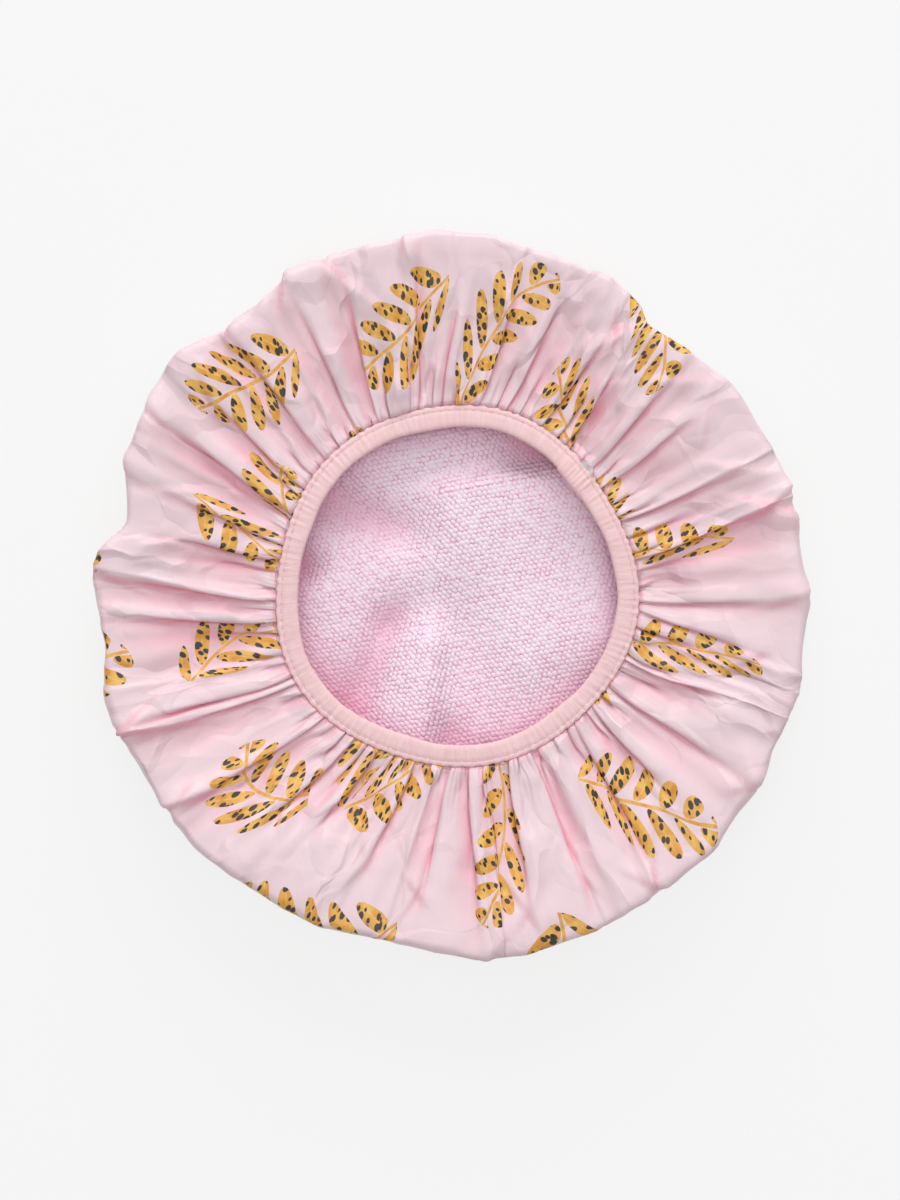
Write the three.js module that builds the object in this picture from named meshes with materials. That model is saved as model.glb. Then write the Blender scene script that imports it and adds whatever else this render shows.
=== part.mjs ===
// A lined shower cap, lying on its crown with its elastic mouth up, in millimetres.
// The origin is on the crown's rest face, under the middle of the mouth. +Z points out of the mouth.
import * as THREE from "three";

// Outer fold of the cap, seen from above
const CAP_RADIUS = 150;
const CAP_CENTRE = new THREE.Vector2(-2.7, -4.8); // from the middle of the mouth
const OUTLINE_DENTS = [
  // angle in degrees, depth, half width in degrees
  [53, 7, 8],
  [90, 2.5, 5],
  [126, 4, 5],
  [167, 8, 5],
  [205, -2, 8],
  [256, 2.5, 6],
  [277, -2, 6],
  [330, 2.5, 7],
];
const FOLD_HEIGHT = 23; // height of the widest part
const SHOULDER_HEIGHT = 37; // where the side turns into the gathered top
const SHOULDER_INSET = 6;
const HEEL_HEIGHT = 6; // where the side turns under
const HEEL_INSET = 5;
const REST_INSET = 18; // the flat crown ends this far inside the outer fold

// Elastic mouth
const MOUTH_RADIUS = 75.5; // outer edge of the binding
const MOUTH_HEIGHT = 28; // middle of the binding
const MOUTH_WAVES = [
  // lobes, size, angle of a lobe in degrees
  [1, 0.9, 250],
  [3, 1.2, 215],
  [5, 0.9, 210],
];
const MOUTH_SWAY = 1.2; // the binding rises and falls by this much
const MOUTH_SWAY_LOBES = 3;

// Gathers of the outer shell
const GATHERS = 30;
const GATHER_DEPTH = 7;
const GATHER_LEAN = 0.45; // valleys lie this share of a step nearer to one crest, as knife pleats do
const GATHER_UNEVENNESS = 0.2; // share by which valleys differ in depth
const GATHER_RHYTHM = 2.4; // radians from one valley's depth to the next
const GATHER_PEAK = 0.3; // share of the gathered top, from the mouth, where gathers are deepest
const GATHER_FADE = 0.64; // share where they start to run out
const GATHER_FADE_DEPTH = 0.8;
const SHOULDER_DEPTH = 0.4;
const CREST_RISE = 4; // crests stand this far above the middle of the binding
const GATHER_START = 1.8; // flat cloth outside the binding before the gathers open
const GATHER_OPEN = 5.4; // where they have half opened
const GATHER_OPEN_DEPTH = 0.4;

// Cloth, tape, elastic and thread
const SHELL_THICKNESS = 0.4;
const LINING_THICKNESS = 2;
const LINING_SEAM_THICKNESS = 0.8; // towelling pressed flat in the seam
const TAPE_WIDTH = 8.7;
const TAPE_THICKNESS = 0.45;
const FOLD_ROUNDING = 0.6; // the tape's fold is rounded over this share of its half height
const FOLD_TURN = 0.55; // and turns under at this share of it
const TAPE_LAP = 12;
const TAPE_END_ANGLE = 40;
const ELASTIC_THICKNESS = 0.7;
const ELASTIC_LAP = 14;
const ELASTIC_END_ANGLE = 50;
const SEAM_ALLOWANCE = 3; // cloth edges reach this far into the binding
const STITCH_INSET = 2.3; // topstitching, from the binding's outer edge
const STITCH_LENGTH = 4.5;
const STITCH_GROOVE = 0.2;
const THREAD = 0.36;
const OVERLOCK_PITCH = 6;
const OVERLOCK_NEEDLE_OUTSET = 0.9; // needle row just outside the binding
const TACK_ZIGZAGS = 7;
const SEAM_GAP = 0.15; // clearance between neighbours in the seam
const CLOTH_GAP = 0.3; // clearance between shell and lining
const LINING_SIDE_GAP = 4; // the towelling stands this far inside the shell's sides
const LINING_SHOULDER = 9; // outside the binding, where the towelling has dropped under the gathers
const LINING_FADE = 0.6; // share of the gathered top where it starts down the side
const LINING_FLOOR_ROWS = [0.5, 0.34, 0.17]; // shares of the flat crown

// Soft folds of the towelling that lies on the crown: ends from the mouth's middle, half width and height
const LINING_FOLDS = [
  { from: [56, 43], to: [10, 23], width: 13, height: 7 },
  { from: [42, 57], to: [-8, 68], width: 10, height: 5 },
  { from: [-10, -22], to: [-22, -68], width: 10, height: 7 },
  { from: [-64, -23], to: [-28, -8], width: 11, height: 5 },
  { from: [30, -20], to: [12, -36], width: 24, height: 3 },
];

// Facets
const TURN_STEPS = 2 * GATHERS;
const RING_STEPS = 84;
const THREAD_SIDES = 3;

// Sizes that follow from the ones above
const SEAM_STACK = SHELL_THICKNESS + SEAM_GAP + LINING_SEAM_THICKNESS + 2 * (THREAD + 2 * SEAM_GAP);
const ELASTIC_STACK = 2 * ELASTIC_THICKNESS + SEAM_GAP + 2 * (THREAD + 2 * SEAM_GAP);
const CHANNEL = Math.max(SEAM_STACK, ELASTIC_STACK); // room between the two leaves of the binding
const SHELL_LEVEL = CHANNEL / 2 - 2 * SEAM_GAP - THREAD - SHELL_THICKNESS / 2;
const LINING_LEVEL = SHELL_LEVEL - SHELL_THICKNESS / 2 - SEAM_GAP - LINING_SEAM_THICKNESS / 2;
const LOOPER_LEVEL = CHANNEL / 2 - SEAM_GAP - THREAD / 2;
const ELASTIC_OUTER = SEAM_ALLOWANCE + 2 * SEAM_GAP + THREAD;
const ELASTIC_INNER = TAPE_WIDTH - TAPE_THICKNESS - SEAM_GAP;
const TURN = 2 * Math.PI;
const UP = new THREE.Vector3(0, 0, 1);

const radians = THREE.MathUtils.degToRad;
const clothMaterial = (color, roughness) => new THREE.MeshStandardMaterial({ color, roughness });

// Shortest turn from one angle to another, in radians
function turnBetween(angle, other) {
  return Math.atan2(Math.sin(angle - other), Math.cos(angle - other));
}

// Plan radius of the outer fold, measured from the middle of the mouth
function foldRadius(angle) {
  const along = CAP_CENTRE.x * Math.cos(angle) + CAP_CENTRE.y * Math.sin(angle);
  const radius = along + Math.sqrt(along ** 2 + CAP_RADIUS ** 2 - CAP_CENTRE.lengthSq());
  return OUTLINE_DENTS.reduce((sum, [at, depth, width]) => {
    const share = turnBetween(angle, radians(at)) / radians(width);
    return sum - depth * Math.exp(-(share ** 2));
  }, radius);
}

// Plan radius and height of the binding's outer edge
function mouthRadius(angle) {
  const wave = ([lobes, size, at]) => size * Math.cos(lobes * (angle - radians(at)));
  return MOUTH_WAVES.reduce((sum, one) => sum + wave(one), MOUTH_RADIUS);
}

function mouthHeight(angle) {
  return MOUTH_HEIGHT + MOUTH_SWAY * Math.sin(MOUTH_SWAY_LOBES * angle);
}

// A point of the seam: inset from the binding's outer edge, and level above its middle
function seamPoint(angle, inset, level) {
  const radius = mouthRadius(angle) - inset;
  return new THREE.Vector3(radius * Math.cos(angle), radius * Math.sin(angle), mouthHeight(angle) + level);
}

// Height of the towelling's soft folds over the crown
function liningFold(x, y) {
  const place = new THREE.Vector2(x, y);
  return LINING_FOLDS.reduce((sum, { from, to, width, height }) => {
    const start = new THREE.Vector2(...from);
    const run = new THREE.Vector2(...to).sub(start);
    const share = THREE.MathUtils.clamp(place.clone().sub(start).dot(run) / run.lengthSq(), 0, 1);
    const away = place.distanceTo(start.addScaledVector(run, share));
    return sum + height * Math.exp(-((away / width) ** 2));
  }, 0);
}

// Geometry from corner points and triangles that index them
function geometryOf(points, triangles) {
  const geometry = new THREE.BufferGeometry().setFromPoints(points);
  geometry.setIndex(triangles);
  return geometry;
}

// Skin over a row of rings. Each ring is a closed outline, clockwise when it is seen along the row.
function skin(rings, endless, capOutline = null) {
  const sides = rings[0].length;
  const triangles = [];
  const spans = endless ? rings.length : rings.length - 1;
  for (let row = 0; row < spans; row++) {
    for (let side = 0; side < sides; side++) {
      const here = row * sides;
      const next = ((row + 1) % rings.length) * sides;
      const after = (side + 1) % sides;
      triangles.push(here + side, next + side, here + after, here + after, next + side, next + after);
    }
  }
  if (!endless) {
    const last = (rings.length - 1) * sides;
    for (const [a, b, c] of THREE.ShapeUtils.triangulateShape(capOutline, [])) {
      triangles.push(a, c, b, last + a, last + b, last + c);
    }
  }
  return geometryOf(rings.flat(), triangles);
}

// Tube of thread along seam points. place(share) gives angle, inset and level for a share of the run.
function threadTube(steps, endless, place) {
  const count = endless ? steps : steps + 1;
  const outline = Array.from({ length: THREAD_SIDES }, (_, side) => {
    const corner = (-TURN * (side + 0.5)) / THREAD_SIDES;
    return new THREE.Vector2(Math.cos(corner), Math.sin(corner)).multiplyScalar(THREAD / 2);
  });
  const centre = (share) => {
    const [angle, inset, level] = place(share);
    return seamPoint(angle, inset, level);
  };
  const rings = Array.from({ length: count }, (_, step) => {
    const share = step / steps;
    const middle = centre(share);
    const ahead = centre(share + 0.5 / steps).sub(centre(share - 0.5 / steps));
    const across = new THREE.Vector3().crossVectors(UP, ahead.normalize()).normalize();
    const over = new THREE.Vector3().crossVectors(ahead, across);
    return outline.map(({ x, y }) => middle.clone().addScaledVector(across, x).addScaledVector(over, y));
  });
  return skin(rings, endless, outline);
}

// Angle of a step round the cloth: even steps are crests, and odd steps are valleys that lean to one side
function stepAngle(step) {
  return (TURN * (step + GATHER_LEAN * (step % 2))) / TURN_STEPS;
}

// Cloth with a middle surface given by rows from its seam edge to the crown's centre.
// Rows hold radius, height and thickness at an angle, and may fix the direction that the cloth faces.
function cloth(rowsAt, centre) {
  const grid = Array.from({ length: TURN_STEPS }, (_, step) => rowsAt(stepAngle(step), step));
  const rows = grid[0].length;
  const pointAt = (step, row) => {
    if (row === rows) return new THREE.Vector3(0, 0, centre.height);
    const turned = (step + TURN_STEPS) % TURN_STEPS;
    const angle = stepAngle(turned);
    const { radius, height } = grid[turned][row];
    return new THREE.Vector3(radius * Math.cos(angle), radius * Math.sin(angle), height);
  };
  const facing = (step, row) => {
    if (grid[step][row].facing) return grid[step][row].facing;
    const round = pointAt(step + 1, row).sub(pointAt(step - 1, row));
    const inward = pointAt(step, row + 1).sub(pointAt(step, Math.max(row - 1, 0)));
    return new THREE.Vector3().crossVectors(inward, round).normalize();
  };
  const layer = (side) =>
    grid.flatMap((column, step) =>
      column.map(({ thickness }, row) => {
        const half = (side * thickness) / 2;
        return pointAt(step, row).addScaledVector(facing(step, row), half);
      }),
    );
  const pole = (side) => new THREE.Vector3(0, 0, centre.height - (side * centre.thickness) / 2);
  const points = [...layer(1), pole(1), ...layer(-1), pole(-1)];
  const inner = TURN_STEPS * rows + 1;
  const triangles = [];
  const quad = (a, b, c, d) => triangles.push(a, b, c, c, b, d);
  for (let step = 0; step < TURN_STEPS; step++) {
    const here = step * rows;
    const next = ((step + 1) % TURN_STEPS) * rows;
    for (let row = 0; row + 1 < rows; row++) {
      quad(here + row, here + row + 1, next + row, next + row + 1);
      quad(inner + here + row, inner + next + row, inner + here + row + 1, inner + next + row + 1);
    }
    quad(here, next, inner + here, inner + next);
    triangles.push(here + rows - 1, inner - 1, next + rows - 1);
    triangles.push(inner + here + rows - 1, inner + next + rows - 1, 2 * inner - 1);
  }
  return geometryOf(points, triangles);
}

const DOWN = UP.clone().negate();

// Depth of the gather at a step round the mouth: crests and valleys take turns, and no two valleys are alike
function gatherDepth(step) {
  const valley = step % 2;
  return valley * GATHER_DEPTH * (1 - GATHER_UNEVENNESS * (1 - Math.sin(GATHER_RHYTHM * step)));
}

// Outer shell: one round of printed waterproof cloth, drawn in to the mouth
function outerShell() {
  const floor = SHELL_THICKNESS / 2;
  const thickness = SHELL_THICKNESS;
  const rowsAt = (angle, step) => {
    const mouth = mouthRadius(angle);
    const fold = foldRadius(angle);
    const reach = fold - mouth;
    const seam = mouthHeight(angle) + SHELL_LEVEL;
    const crest = mouthHeight(angle) + CREST_RISE;
    const depth = gatherDepth(step);
    const row = (radius, height, share = 0, facing = null) => ({
      radius,
      height: height - share * depth,
      thickness,
      facing,
    });
    return [
      row(mouth - SEAM_ALLOWANCE, seam, 0, UP),
      row(mouth + GATHER_START, seam, 0, UP),
      row(mouth + GATHER_OPEN, (seam + crest) / 2, GATHER_OPEN_DEPTH),
      row(mouth + GATHER_PEAK * reach, crest, 1),
      row(mouth + GATHER_FADE * reach, (2 * crest + SHOULDER_HEIGHT) / 3, GATHER_FADE_DEPTH),
      row(fold - SHOULDER_INSET, SHOULDER_HEIGHT, SHOULDER_DEPTH),
      row(fold, FOLD_HEIGHT),
      row(fold - HEEL_INSET, HEEL_HEIGHT),
      row(fold - REST_INSET, floor, 0, DOWN),
      row((fold - REST_INSET) / 2, floor, 0, DOWN),
    ];
  };
  return cloth(rowsAt, { height: floor, thickness });
}

// Lining: one round of looped towelling inside the shell, lying in soft folds on the crown
function terryLining() {
  const inset = SHELL_THICKNESS + CLOTH_GAP + LINING_THICKNESS / 2;
  const thickness = LINING_THICKNESS;
  const rowsAt = (angle) => {
    const mouth = mouthRadius(angle);
    const fold = foldRadius(angle);
    const side = fold - LINING_SIDE_GAP;
    const reach = fold - mouth;
    const seam = mouthHeight(angle) + LINING_LEVEL;
    const under = mouthHeight(angle) + CREST_RISE - GATHER_DEPTH - inset;
    const fade = Math.min(under, (2 * under + SHOULDER_HEIGHT) / 3 - inset);
    const shoulder = SHOULDER_HEIGHT - SHOULDER_DEPTH * GATHER_DEPTH - LINING_SIDE_GAP;
    const floorRow = (radius) => ({
      radius,
      height: inset + liningFold(radius * Math.cos(angle), radius * Math.sin(angle)),
      thickness,
    });
    return [
      { radius: mouth - SEAM_ALLOWANCE, height: seam, thickness: LINING_SEAM_THICKNESS, facing: UP },
      { radius: mouth + GATHER_START, height: seam, thickness: LINING_SEAM_THICKNESS, facing: UP },
      { radius: mouth + LINING_SHOULDER, height: under, thickness },
      { radius: mouth + LINING_FADE * reach, height: fade, thickness },
      { radius: side - SHOULDER_INSET, height: shoulder, thickness },
      { radius: side, height: FOLD_HEIGHT, thickness },
      floorRow(side - REST_INSET),
      ...LINING_FLOOR_ROWS.map((share) => floorRow(share * (fold - REST_INSET))),
    ];
  };
  return cloth(rowsAt, { height: inset + liningFold(0, 0), thickness });
}

// Binding: one strip of tape folded over the cloth edges and the elastic. Each turn wraps over its own start.
function bindingTape() {
  const lap = TAPE_LAP / MOUTH_RADIUS;
  const sweep = TURN + lap;
  const growth = ((TAPE_THICKNESS + SEAM_GAP) * sweep) / TURN;
  const steps = Math.round((RING_STEPS * sweep) / TURN);
  const outline = (share) => {
    const grow = growth * share;
    const half = CHANNEL / 2 + grow;
    const face = half + TAPE_THICKNESS;
    const fold = TAPE_WIDTH + grow;
    const groove = face - STITCH_GROOVE;
    const side = [
      [0, face],
      [STITCH_INSET - 2 * THREAD, face],
      [STITCH_INSET - THREAD, groove],
      [STITCH_INSET + THREAD, groove],
      [STITCH_INSET + 2 * THREAD, face],
      [fold - FOLD_ROUNDING * face, face],
      [fold, FOLD_TURN * face],
    ];
    const insideFold = fold - TAPE_THICKNESS;
    const inside = [
      [0, half],
      [insideFold - FOLD_ROUNDING * half, half],
      [insideFold, FOLD_TURN * half],
    ];
    const flip = (list) => list.map(([inset, level]) => [inset, -level]);
    return [
      ...side,
      ...flip(side).reverse(),
      ...flip(inside),
      ...inside.slice().reverse(),
    ].map(([inset, level]) => new THREE.Vector2(inset, level));
  };
  const rings = Array.from({ length: steps + 1 }, (_, step) => {
    const angle = radians(TAPE_END_ANGLE) - lap + (sweep * step) / steps;
    return outline(step / steps).map(({ x, y }) => seamPoint(angle, x, y));
  });
  return skin(rings, false, outline(0));
}

// Elastic: a flat strip inside the binding's fold. It climbs by its thickness, so its end lies on its start.
function elasticBand() {
  const lap = ELASTIC_LAP / MOUTH_RADIUS;
  const sweep = TURN + lap;
  const climb = ((ELASTIC_THICKNESS + SEAM_GAP) * sweep) / TURN;
  const steps = Math.round((RING_STEPS * sweep) / TURN);
  const half = ELASTIC_THICKNESS / 2;
  const outline = [
    new THREE.Vector2(ELASTIC_OUTER, half),
    new THREE.Vector2(ELASTIC_INNER, half),
    new THREE.Vector2(ELASTIC_INNER, -half),
    new THREE.Vector2(ELASTIC_OUTER, -half),
  ];
  const rings = Array.from({ length: steps + 1 }, (_, step) => {
    const angle = radians(ELASTIC_END_ANGLE) - lap + (sweep * step) / steps;
    const level = climb * (step / steps - 0.5);
    return outline.map(({ x, y }) => seamPoint(angle, x, y + level));
  });
  return skin(rings, false, outline);
}

// Zigzag of thread over the lap that joins the elastic's two ends
function elasticJoinTack() {
  const lap = ELASTIC_LAP / MOUTH_RADIUS;
  const level = ELASTIC_THICKNESS + 1.5 * SEAM_GAP + THREAD / 2;
  const margin = 2 * THREAD;
  return threadTube(2 * TACK_ZIGZAGS, false, (share) => {
    const swing = Math.abs(((share * TACK_ZIGZAGS + 1) % 1) - 0.5) * 2;
    const inset = THREE.MathUtils.lerp(ELASTIC_OUTER + margin, ELASTIC_INNER - margin, swing);
    return [radians(ELASTIC_END_ANGLE) - lap * (0.9 - 0.8 * share), inset, level];
  });
}

// Topstitch thread on one face of the binding, from just past the tape's end round to the end itself
function topstitch(face) {
  const lap = TAPE_LAP / MOUTH_RADIUS;
  const margin = (2 * THREAD) / MOUTH_RADIUS;
  const sweep = TURN - 2 * margin;
  const stitches = Math.round((TURN * MOUTH_RADIUS) / STITCH_LENGTH);
  const growth = (TAPE_THICKNESS + SEAM_GAP) / TURN;
  const floor = CHANNEL / 2 + TAPE_THICKNESS - STITCH_GROOVE + SEAM_GAP + THREAD / 2;
  return threadTube(2 * stitches, false, (share) => {
    const past = margin + sweep * share;
    const arch = STITCH_GROOVE * Math.sin(Math.PI * stitches * share) ** 2;
    const level = floor + growth * (past + lap) + arch;
    return [radians(TAPE_END_ANGLE) + past, STITCH_INSET, face * level];
  });
}

// Looper thread of the overlocked cloth edges, lacing to and fro on one side of the seam
function overlockLooper(face) {
  const loops = Math.round((TURN * MOUTH_RADIUS) / OVERLOCK_PITCH);
  const level = face > 0 ? LOOPER_LEVEL : LINING_LEVEL - LINING_SEAM_THICKNESS / 2 - SEAM_GAP - THREAD / 2;
  const edge = SEAM_ALLOWANCE + SEAM_GAP;
  return threadTube(2 * loops, true, (share) => {
    const swing = Math.abs(((share * loops + 1) % 1) - 0.5) * 2;
    return [TURN * share, THREE.MathUtils.lerp(THREAD, edge, swing), level];
  });
}

// Needle thread of the overlocked edges, a row of stitches on the shell beside the binding
function overlockNeedle() {
  const stitches = Math.round((TURN * MOUTH_RADIUS) / OVERLOCK_PITCH);
  const floor = SHELL_LEVEL + SHELL_THICKNESS / 2 + SEAM_GAP + THREAD / 2;
  return threadTube(2 * stitches, true, (share) => {
    const arch = STITCH_GROOVE * Math.sin(Math.PI * stitches * share) ** 2;
    return [TURN * share, -OVERLOCK_NEEDLE_OUTSET, floor + arch];
  });
}

const shellCloth = clothMaterial(0xe9cdd6, 0.55);
const towelling = clothMaterial(0xecc9da, 0.95);
const tapeCloth = clothMaterial(0xe6c3c2, 0.85);
const whiteElastic = clothMaterial(0xf1eeea, 0.8);
const pinkThread = clothMaterial(0xd9adb0, 0.6);
const greyThread = clothMaterial(0xb9b2b6, 0.6);

const cap = new THREE.Group();
const pieces = [
  ["outer_shell", outerShell(), shellCloth],
  ["terry_lining", terryLining(), towelling],
  ["binding_tape", bindingTape(), tapeCloth],
  ["elastic_band", elasticBand(), whiteElastic],
  ["elastic_join_tack", elasticJoinTack(), greyThread],
  ["topstitch_needle_thread", topstitch(1), pinkThread],
  ["topstitch_bobbin_thread", topstitch(-1), pinkThread],
  ["overlock_upper_looper", overlockLooper(1), greyThread],
  ["overlock_lower_looper", overlockLooper(-1), greyThread],
  ["overlock_needle_thread", overlockNeedle(), greyThread],
];
for (const [name, geometry, material] of pieces) {
  const mesh = new THREE.Mesh(geometry, material);
  mesh.name = name;
  cap.add(mesh);
}

export default cap;
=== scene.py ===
import math

import bpy
import numpy as np
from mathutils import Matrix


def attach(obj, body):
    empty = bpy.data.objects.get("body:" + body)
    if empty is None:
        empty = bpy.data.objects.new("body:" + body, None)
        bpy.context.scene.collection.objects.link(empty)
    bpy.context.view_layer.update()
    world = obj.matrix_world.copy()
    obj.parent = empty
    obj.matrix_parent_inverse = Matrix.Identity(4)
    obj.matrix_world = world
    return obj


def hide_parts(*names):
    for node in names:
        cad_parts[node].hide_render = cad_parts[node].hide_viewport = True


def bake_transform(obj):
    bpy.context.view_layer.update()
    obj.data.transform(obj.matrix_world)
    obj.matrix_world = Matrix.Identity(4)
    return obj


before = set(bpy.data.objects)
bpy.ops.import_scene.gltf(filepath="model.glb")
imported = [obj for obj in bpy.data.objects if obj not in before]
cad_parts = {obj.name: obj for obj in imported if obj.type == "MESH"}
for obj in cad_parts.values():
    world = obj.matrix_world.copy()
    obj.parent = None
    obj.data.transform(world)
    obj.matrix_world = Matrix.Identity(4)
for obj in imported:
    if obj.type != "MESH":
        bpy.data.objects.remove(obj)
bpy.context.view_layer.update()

# Sizes in millimetres, in the CAD model's frame
MM = 0.001
TURN = 2 * math.pi

# Elastic mouth
MOUTH_RADIUS = 75.5  # outer edge of the binding
MOUTH_WAVES = ((1, 0.9, 250), (3, 1.2, 215), (5, 0.9, 210))  # lobes, size, angle of a lobe in degrees
MOUTH_HEIGHT = 28.0
MOUTH_SWAY = 1.2
MOUTH_SWAY_LOBES = 3
TAPE_WIDTH = 8.7
SEAM_ALLOWANCE = 3.0
SHELL_LEVEL = 0.495  # middle of the shell's edge above the middle of the binding

# Corners of the cap's outer fold, from the middle of the mouth, anticlockwise from the right
FOLD_CORNERS = (
    (147, -6), (140, 40), (134, 54), (116, 84), (97, 98), (80, 109), (77, 117), (64, 129), (49, 134),
    (14, 147), (-8, 148), (-45, 140), (-69, 130), (-93, 108), (-117, 97), (-127, 79), (-138, 52),
    (-137, 25), (-148, 16), (-152, 5), (-146, -29), (-146, -48), (-128, -83), (-109, -110), (-89, -124),
    (-59, -142), (-23, -149), (10, -156), (31, -153), (60, -143), (80, -131), (107, -111), (125, -84),
    (138, -57), (143, -43),
)
FOLD_CORNER_ROUNDING = 0.7  # degrees
RIM_HEIGHT = 27.0  # height of the widest part
DISH_RISE = 11.5  # the top rises this far from the binding to its shoulder
REST_INSET = 18.0  # the flat crown ends this far inside the outer fold

# Shell cloth, cut as one round
CUT_RADIUS = 240.0
SHELL_THICKNESS = 0.3
# Distances between its rows of points, from the raw edge inwards, and how many of each
SHELL_STEPS = ((1.5, 3), (1.2, 18), (1.6, 18), (2.2, 14), (1.1, 13), (2.4, 5), (5.0, 8))
SHELL_FULL_ROWS = 48  # rows with all columns of points, before those with half and then a quarter of them
SHELL_HALF_ROWS = 24
SHELL_EASING = (0.8, 5, 4.0, 12.0)  # its bends: rounding, samples, start from the raw edge, run to the full
SECTION_COLUMNS = 720  # angles at which its smooth section is worked out
POINT_EASING = 0.13  # each point moves this share of the way to both its neighbours in the row
SPACING_ROWS = (8, 45)  # distances from the raw edge of the rows that tell how wide each column is when flat
SPACING_SHARE = 0.5  # share of the flat round that is divided by them, the rest is divided evenly
RIM_DISTANCE = 87.0  # along the cloth from the binding to the widest part

# Knife folds of the shell at the binding
FOLDS = 88
FOLD_SEED = 11
FOLD_SCATTER = 0.28  # share of the way to the next fold
LONG_SCATTER = 0.25  # of the long folds, as many as the outline has corners: share of the way to the next
MIDDLE_SHARE = 0.45  # of the folds that aren't long
LEAN_LIMIT = 0.35  # cosine near the mouth's top and bottom below which, give or take, folds lean both ways
LEAN_LOBES = 9  # lobes of the wave that turns their lean there
FOLD_STRENGTH = (0.7, 1.3)
FOLD_HALF_WIDTH = 0.16  # of its turned-under side, as a share of the way to the next fold
FOLD_FADE = 0.55  # share of its reach over which a fold runs out
SHORTER_RISE = 0.4  # share of the depth of middle and short folds that stands above the cloth round them
BACK_STEPS = 2  # columns of points across the turned-under side of a fold
FACE_STEPS = 6  # columns of points across its open side
SHELL_COLUMNS = FOLDS * (BACK_STEPS + FACE_STEPS)
LONG_REACH = (44, 104)  # distances outside the binding where folds run out
MIDDLE_REACH = (16, 44)
SHORT_REACH = (5, 14)
LONG_DRIFT = 0.13  # most that a long fold turns on its way to its corner of the outline
# At distances outside the binding: depth of each kind of fold, and how far it laps or, below 0, lies open
LONG_DEPTH = (
    (0, 0.4), (3, 2.0), (8, 3.4), (18, 4.4), (34, 4.2), (50, 3.5), (65, 2.5), (80, 1.3), (95, 0.5),
)
LONG_LAP = (
    (0, 0.6), (6, 2.2), (14, 3.0), (25, 2.0), (36, 0.4), (48, -1.4), (60, -2.6), (75, -3.4), (95, -4.0),
)
MIDDLE_DEPTH = ((0, 0.4), (3, 1.6), (8, 2.6), (15, 2.9), (40, 2.8))
MIDDLE_LAP = ((0, 0.6), (6, 1.6), (15, 0.8), (30, -2.0), (45, -4.0))
SHORT_DEPTH = ((0, 0.4), (3, 1.7), (7, 2.2))
SHORT_LAP = ((0, 0.5), (5, 0.8), (14, -1.0))
FACE_HOLLOW = ((0, 0.0), (10, 0.0), (25, 0.9), (60, 1.2), (90, 0.5))  # faces curve up out of their valley
FACE_BULGE = ((0, 0.1), (4, 0.7), (20, 0.9), (50, 0.5), (90, 0.0))

# Short creases of the shell where folds run out, and loose ones
CREASE_START = (0.6, 0.95)  # share of the fold's reach
CREASE_RIM_ROOM = 14  # kept free before the widest part
CREASE_SCATTER = 0.03  # radians round the mouth
CREASE_LENGTH = (0.16, 0.3)  # share of the fold's reach
CREASE_SLANT = (0.25, 0.9)  # radians, to either side
CREASE_HEIGHT = (0.07, 0.11)  # share of the crease's length
LOOSE_CREASES = 50
LOOSE_START = (30, 108)  # outside the binding
LOOSE_SLANT = (-0.9, 0.9)
LOOSE_LENGTH = (8, 20)
LOOSE_HEIGHT = (0.4, 1.2)
CREASE_SLOPE = (1.2, 9.0)  # widths of a crease's steep and gentle sides
CREASE_FOOT = 1.6  # half width of the valley at its foot
CREASE_MARGIN = 12  # rows this far past its ends are out of its reach
RIM_CALM = (0.95, 9)  # share by which creases are lower at the widest part, and how far round it
WALL_WAVES = ((23, 1, 1.0), (41, 2, 0.7))  # soft waves of the side: lobes, start and share
WALL_WAVE_HEIGHT = 0.6
WALL_WAVE_PLACE = (14, 6)  # distance past the widest part, and spread
CREASED_HEIGHTS = (1.5, 7.0)  # creases and facets come in between these heights above the floor

# Flat facets that creased cloth falls into
FACETS = 190  # pressed in, and as many standing out
FACET_FIELD = (722.0, 132.0)  # cloth that they cover, round the cap and outwards
FACET_FIELD_START = -3  # from the binding outwards, before they are stretched
FACET_STRETCH = 1.9  # facets are this many times longer than wide
FACET_STEEPNESS = 0.013
FACET_LIMIT = 120  # most that counts of the difference between two squared distances
FACET_FADE = (2, 14)  # they come in between these distances outside the binding
FINE_FACETS = ((19.0, 0.34), (9.0, 0.28))  # facets in the finish: width and slope
FINE_FACET_SHIFT = 417.0  # between the two sets of cells that they are made from
FACET_SWAY = 16.0  # bends the creases between them

# Fine gathers beside the binding, in the finish
GATHER_SPACING = 2.6
GATHER_STREAK = 0.06  # how fast a gather changes along its length
GATHER_REACH = 38.0
GATHER_HEIGHT = 2.2

# Painted shade, a deeper pink, in the shell's valleys. What lies low is coloured like a valley of a depth in
# millimetres
VALLEY_DEPTHS = (0.4, 5.3)  # the painted shade starts and is full at these depths
VALLEY_PAINTED_SHADE = 0.82
CREASE_PAINTED_SHADE = 0.9  # painted shade at the foot of a crease, as a depth that is a share of its height
GATHER_PAINTED_SHADE = 5.0  # painted shade between fine gathers, as a depth that is a share of theirs
SEAM_PAINTED_SHADE = 4.0  # painted shade at the binding, as a depth
SEAM_PAINTED_SHADE_BAND = (0.5, 2.5)  # middle and half width of that band outside the binding
FLANK_PAINTED_SHADE = 6.0  # painted shade of the steepest flank of a fold, as a depth
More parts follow.
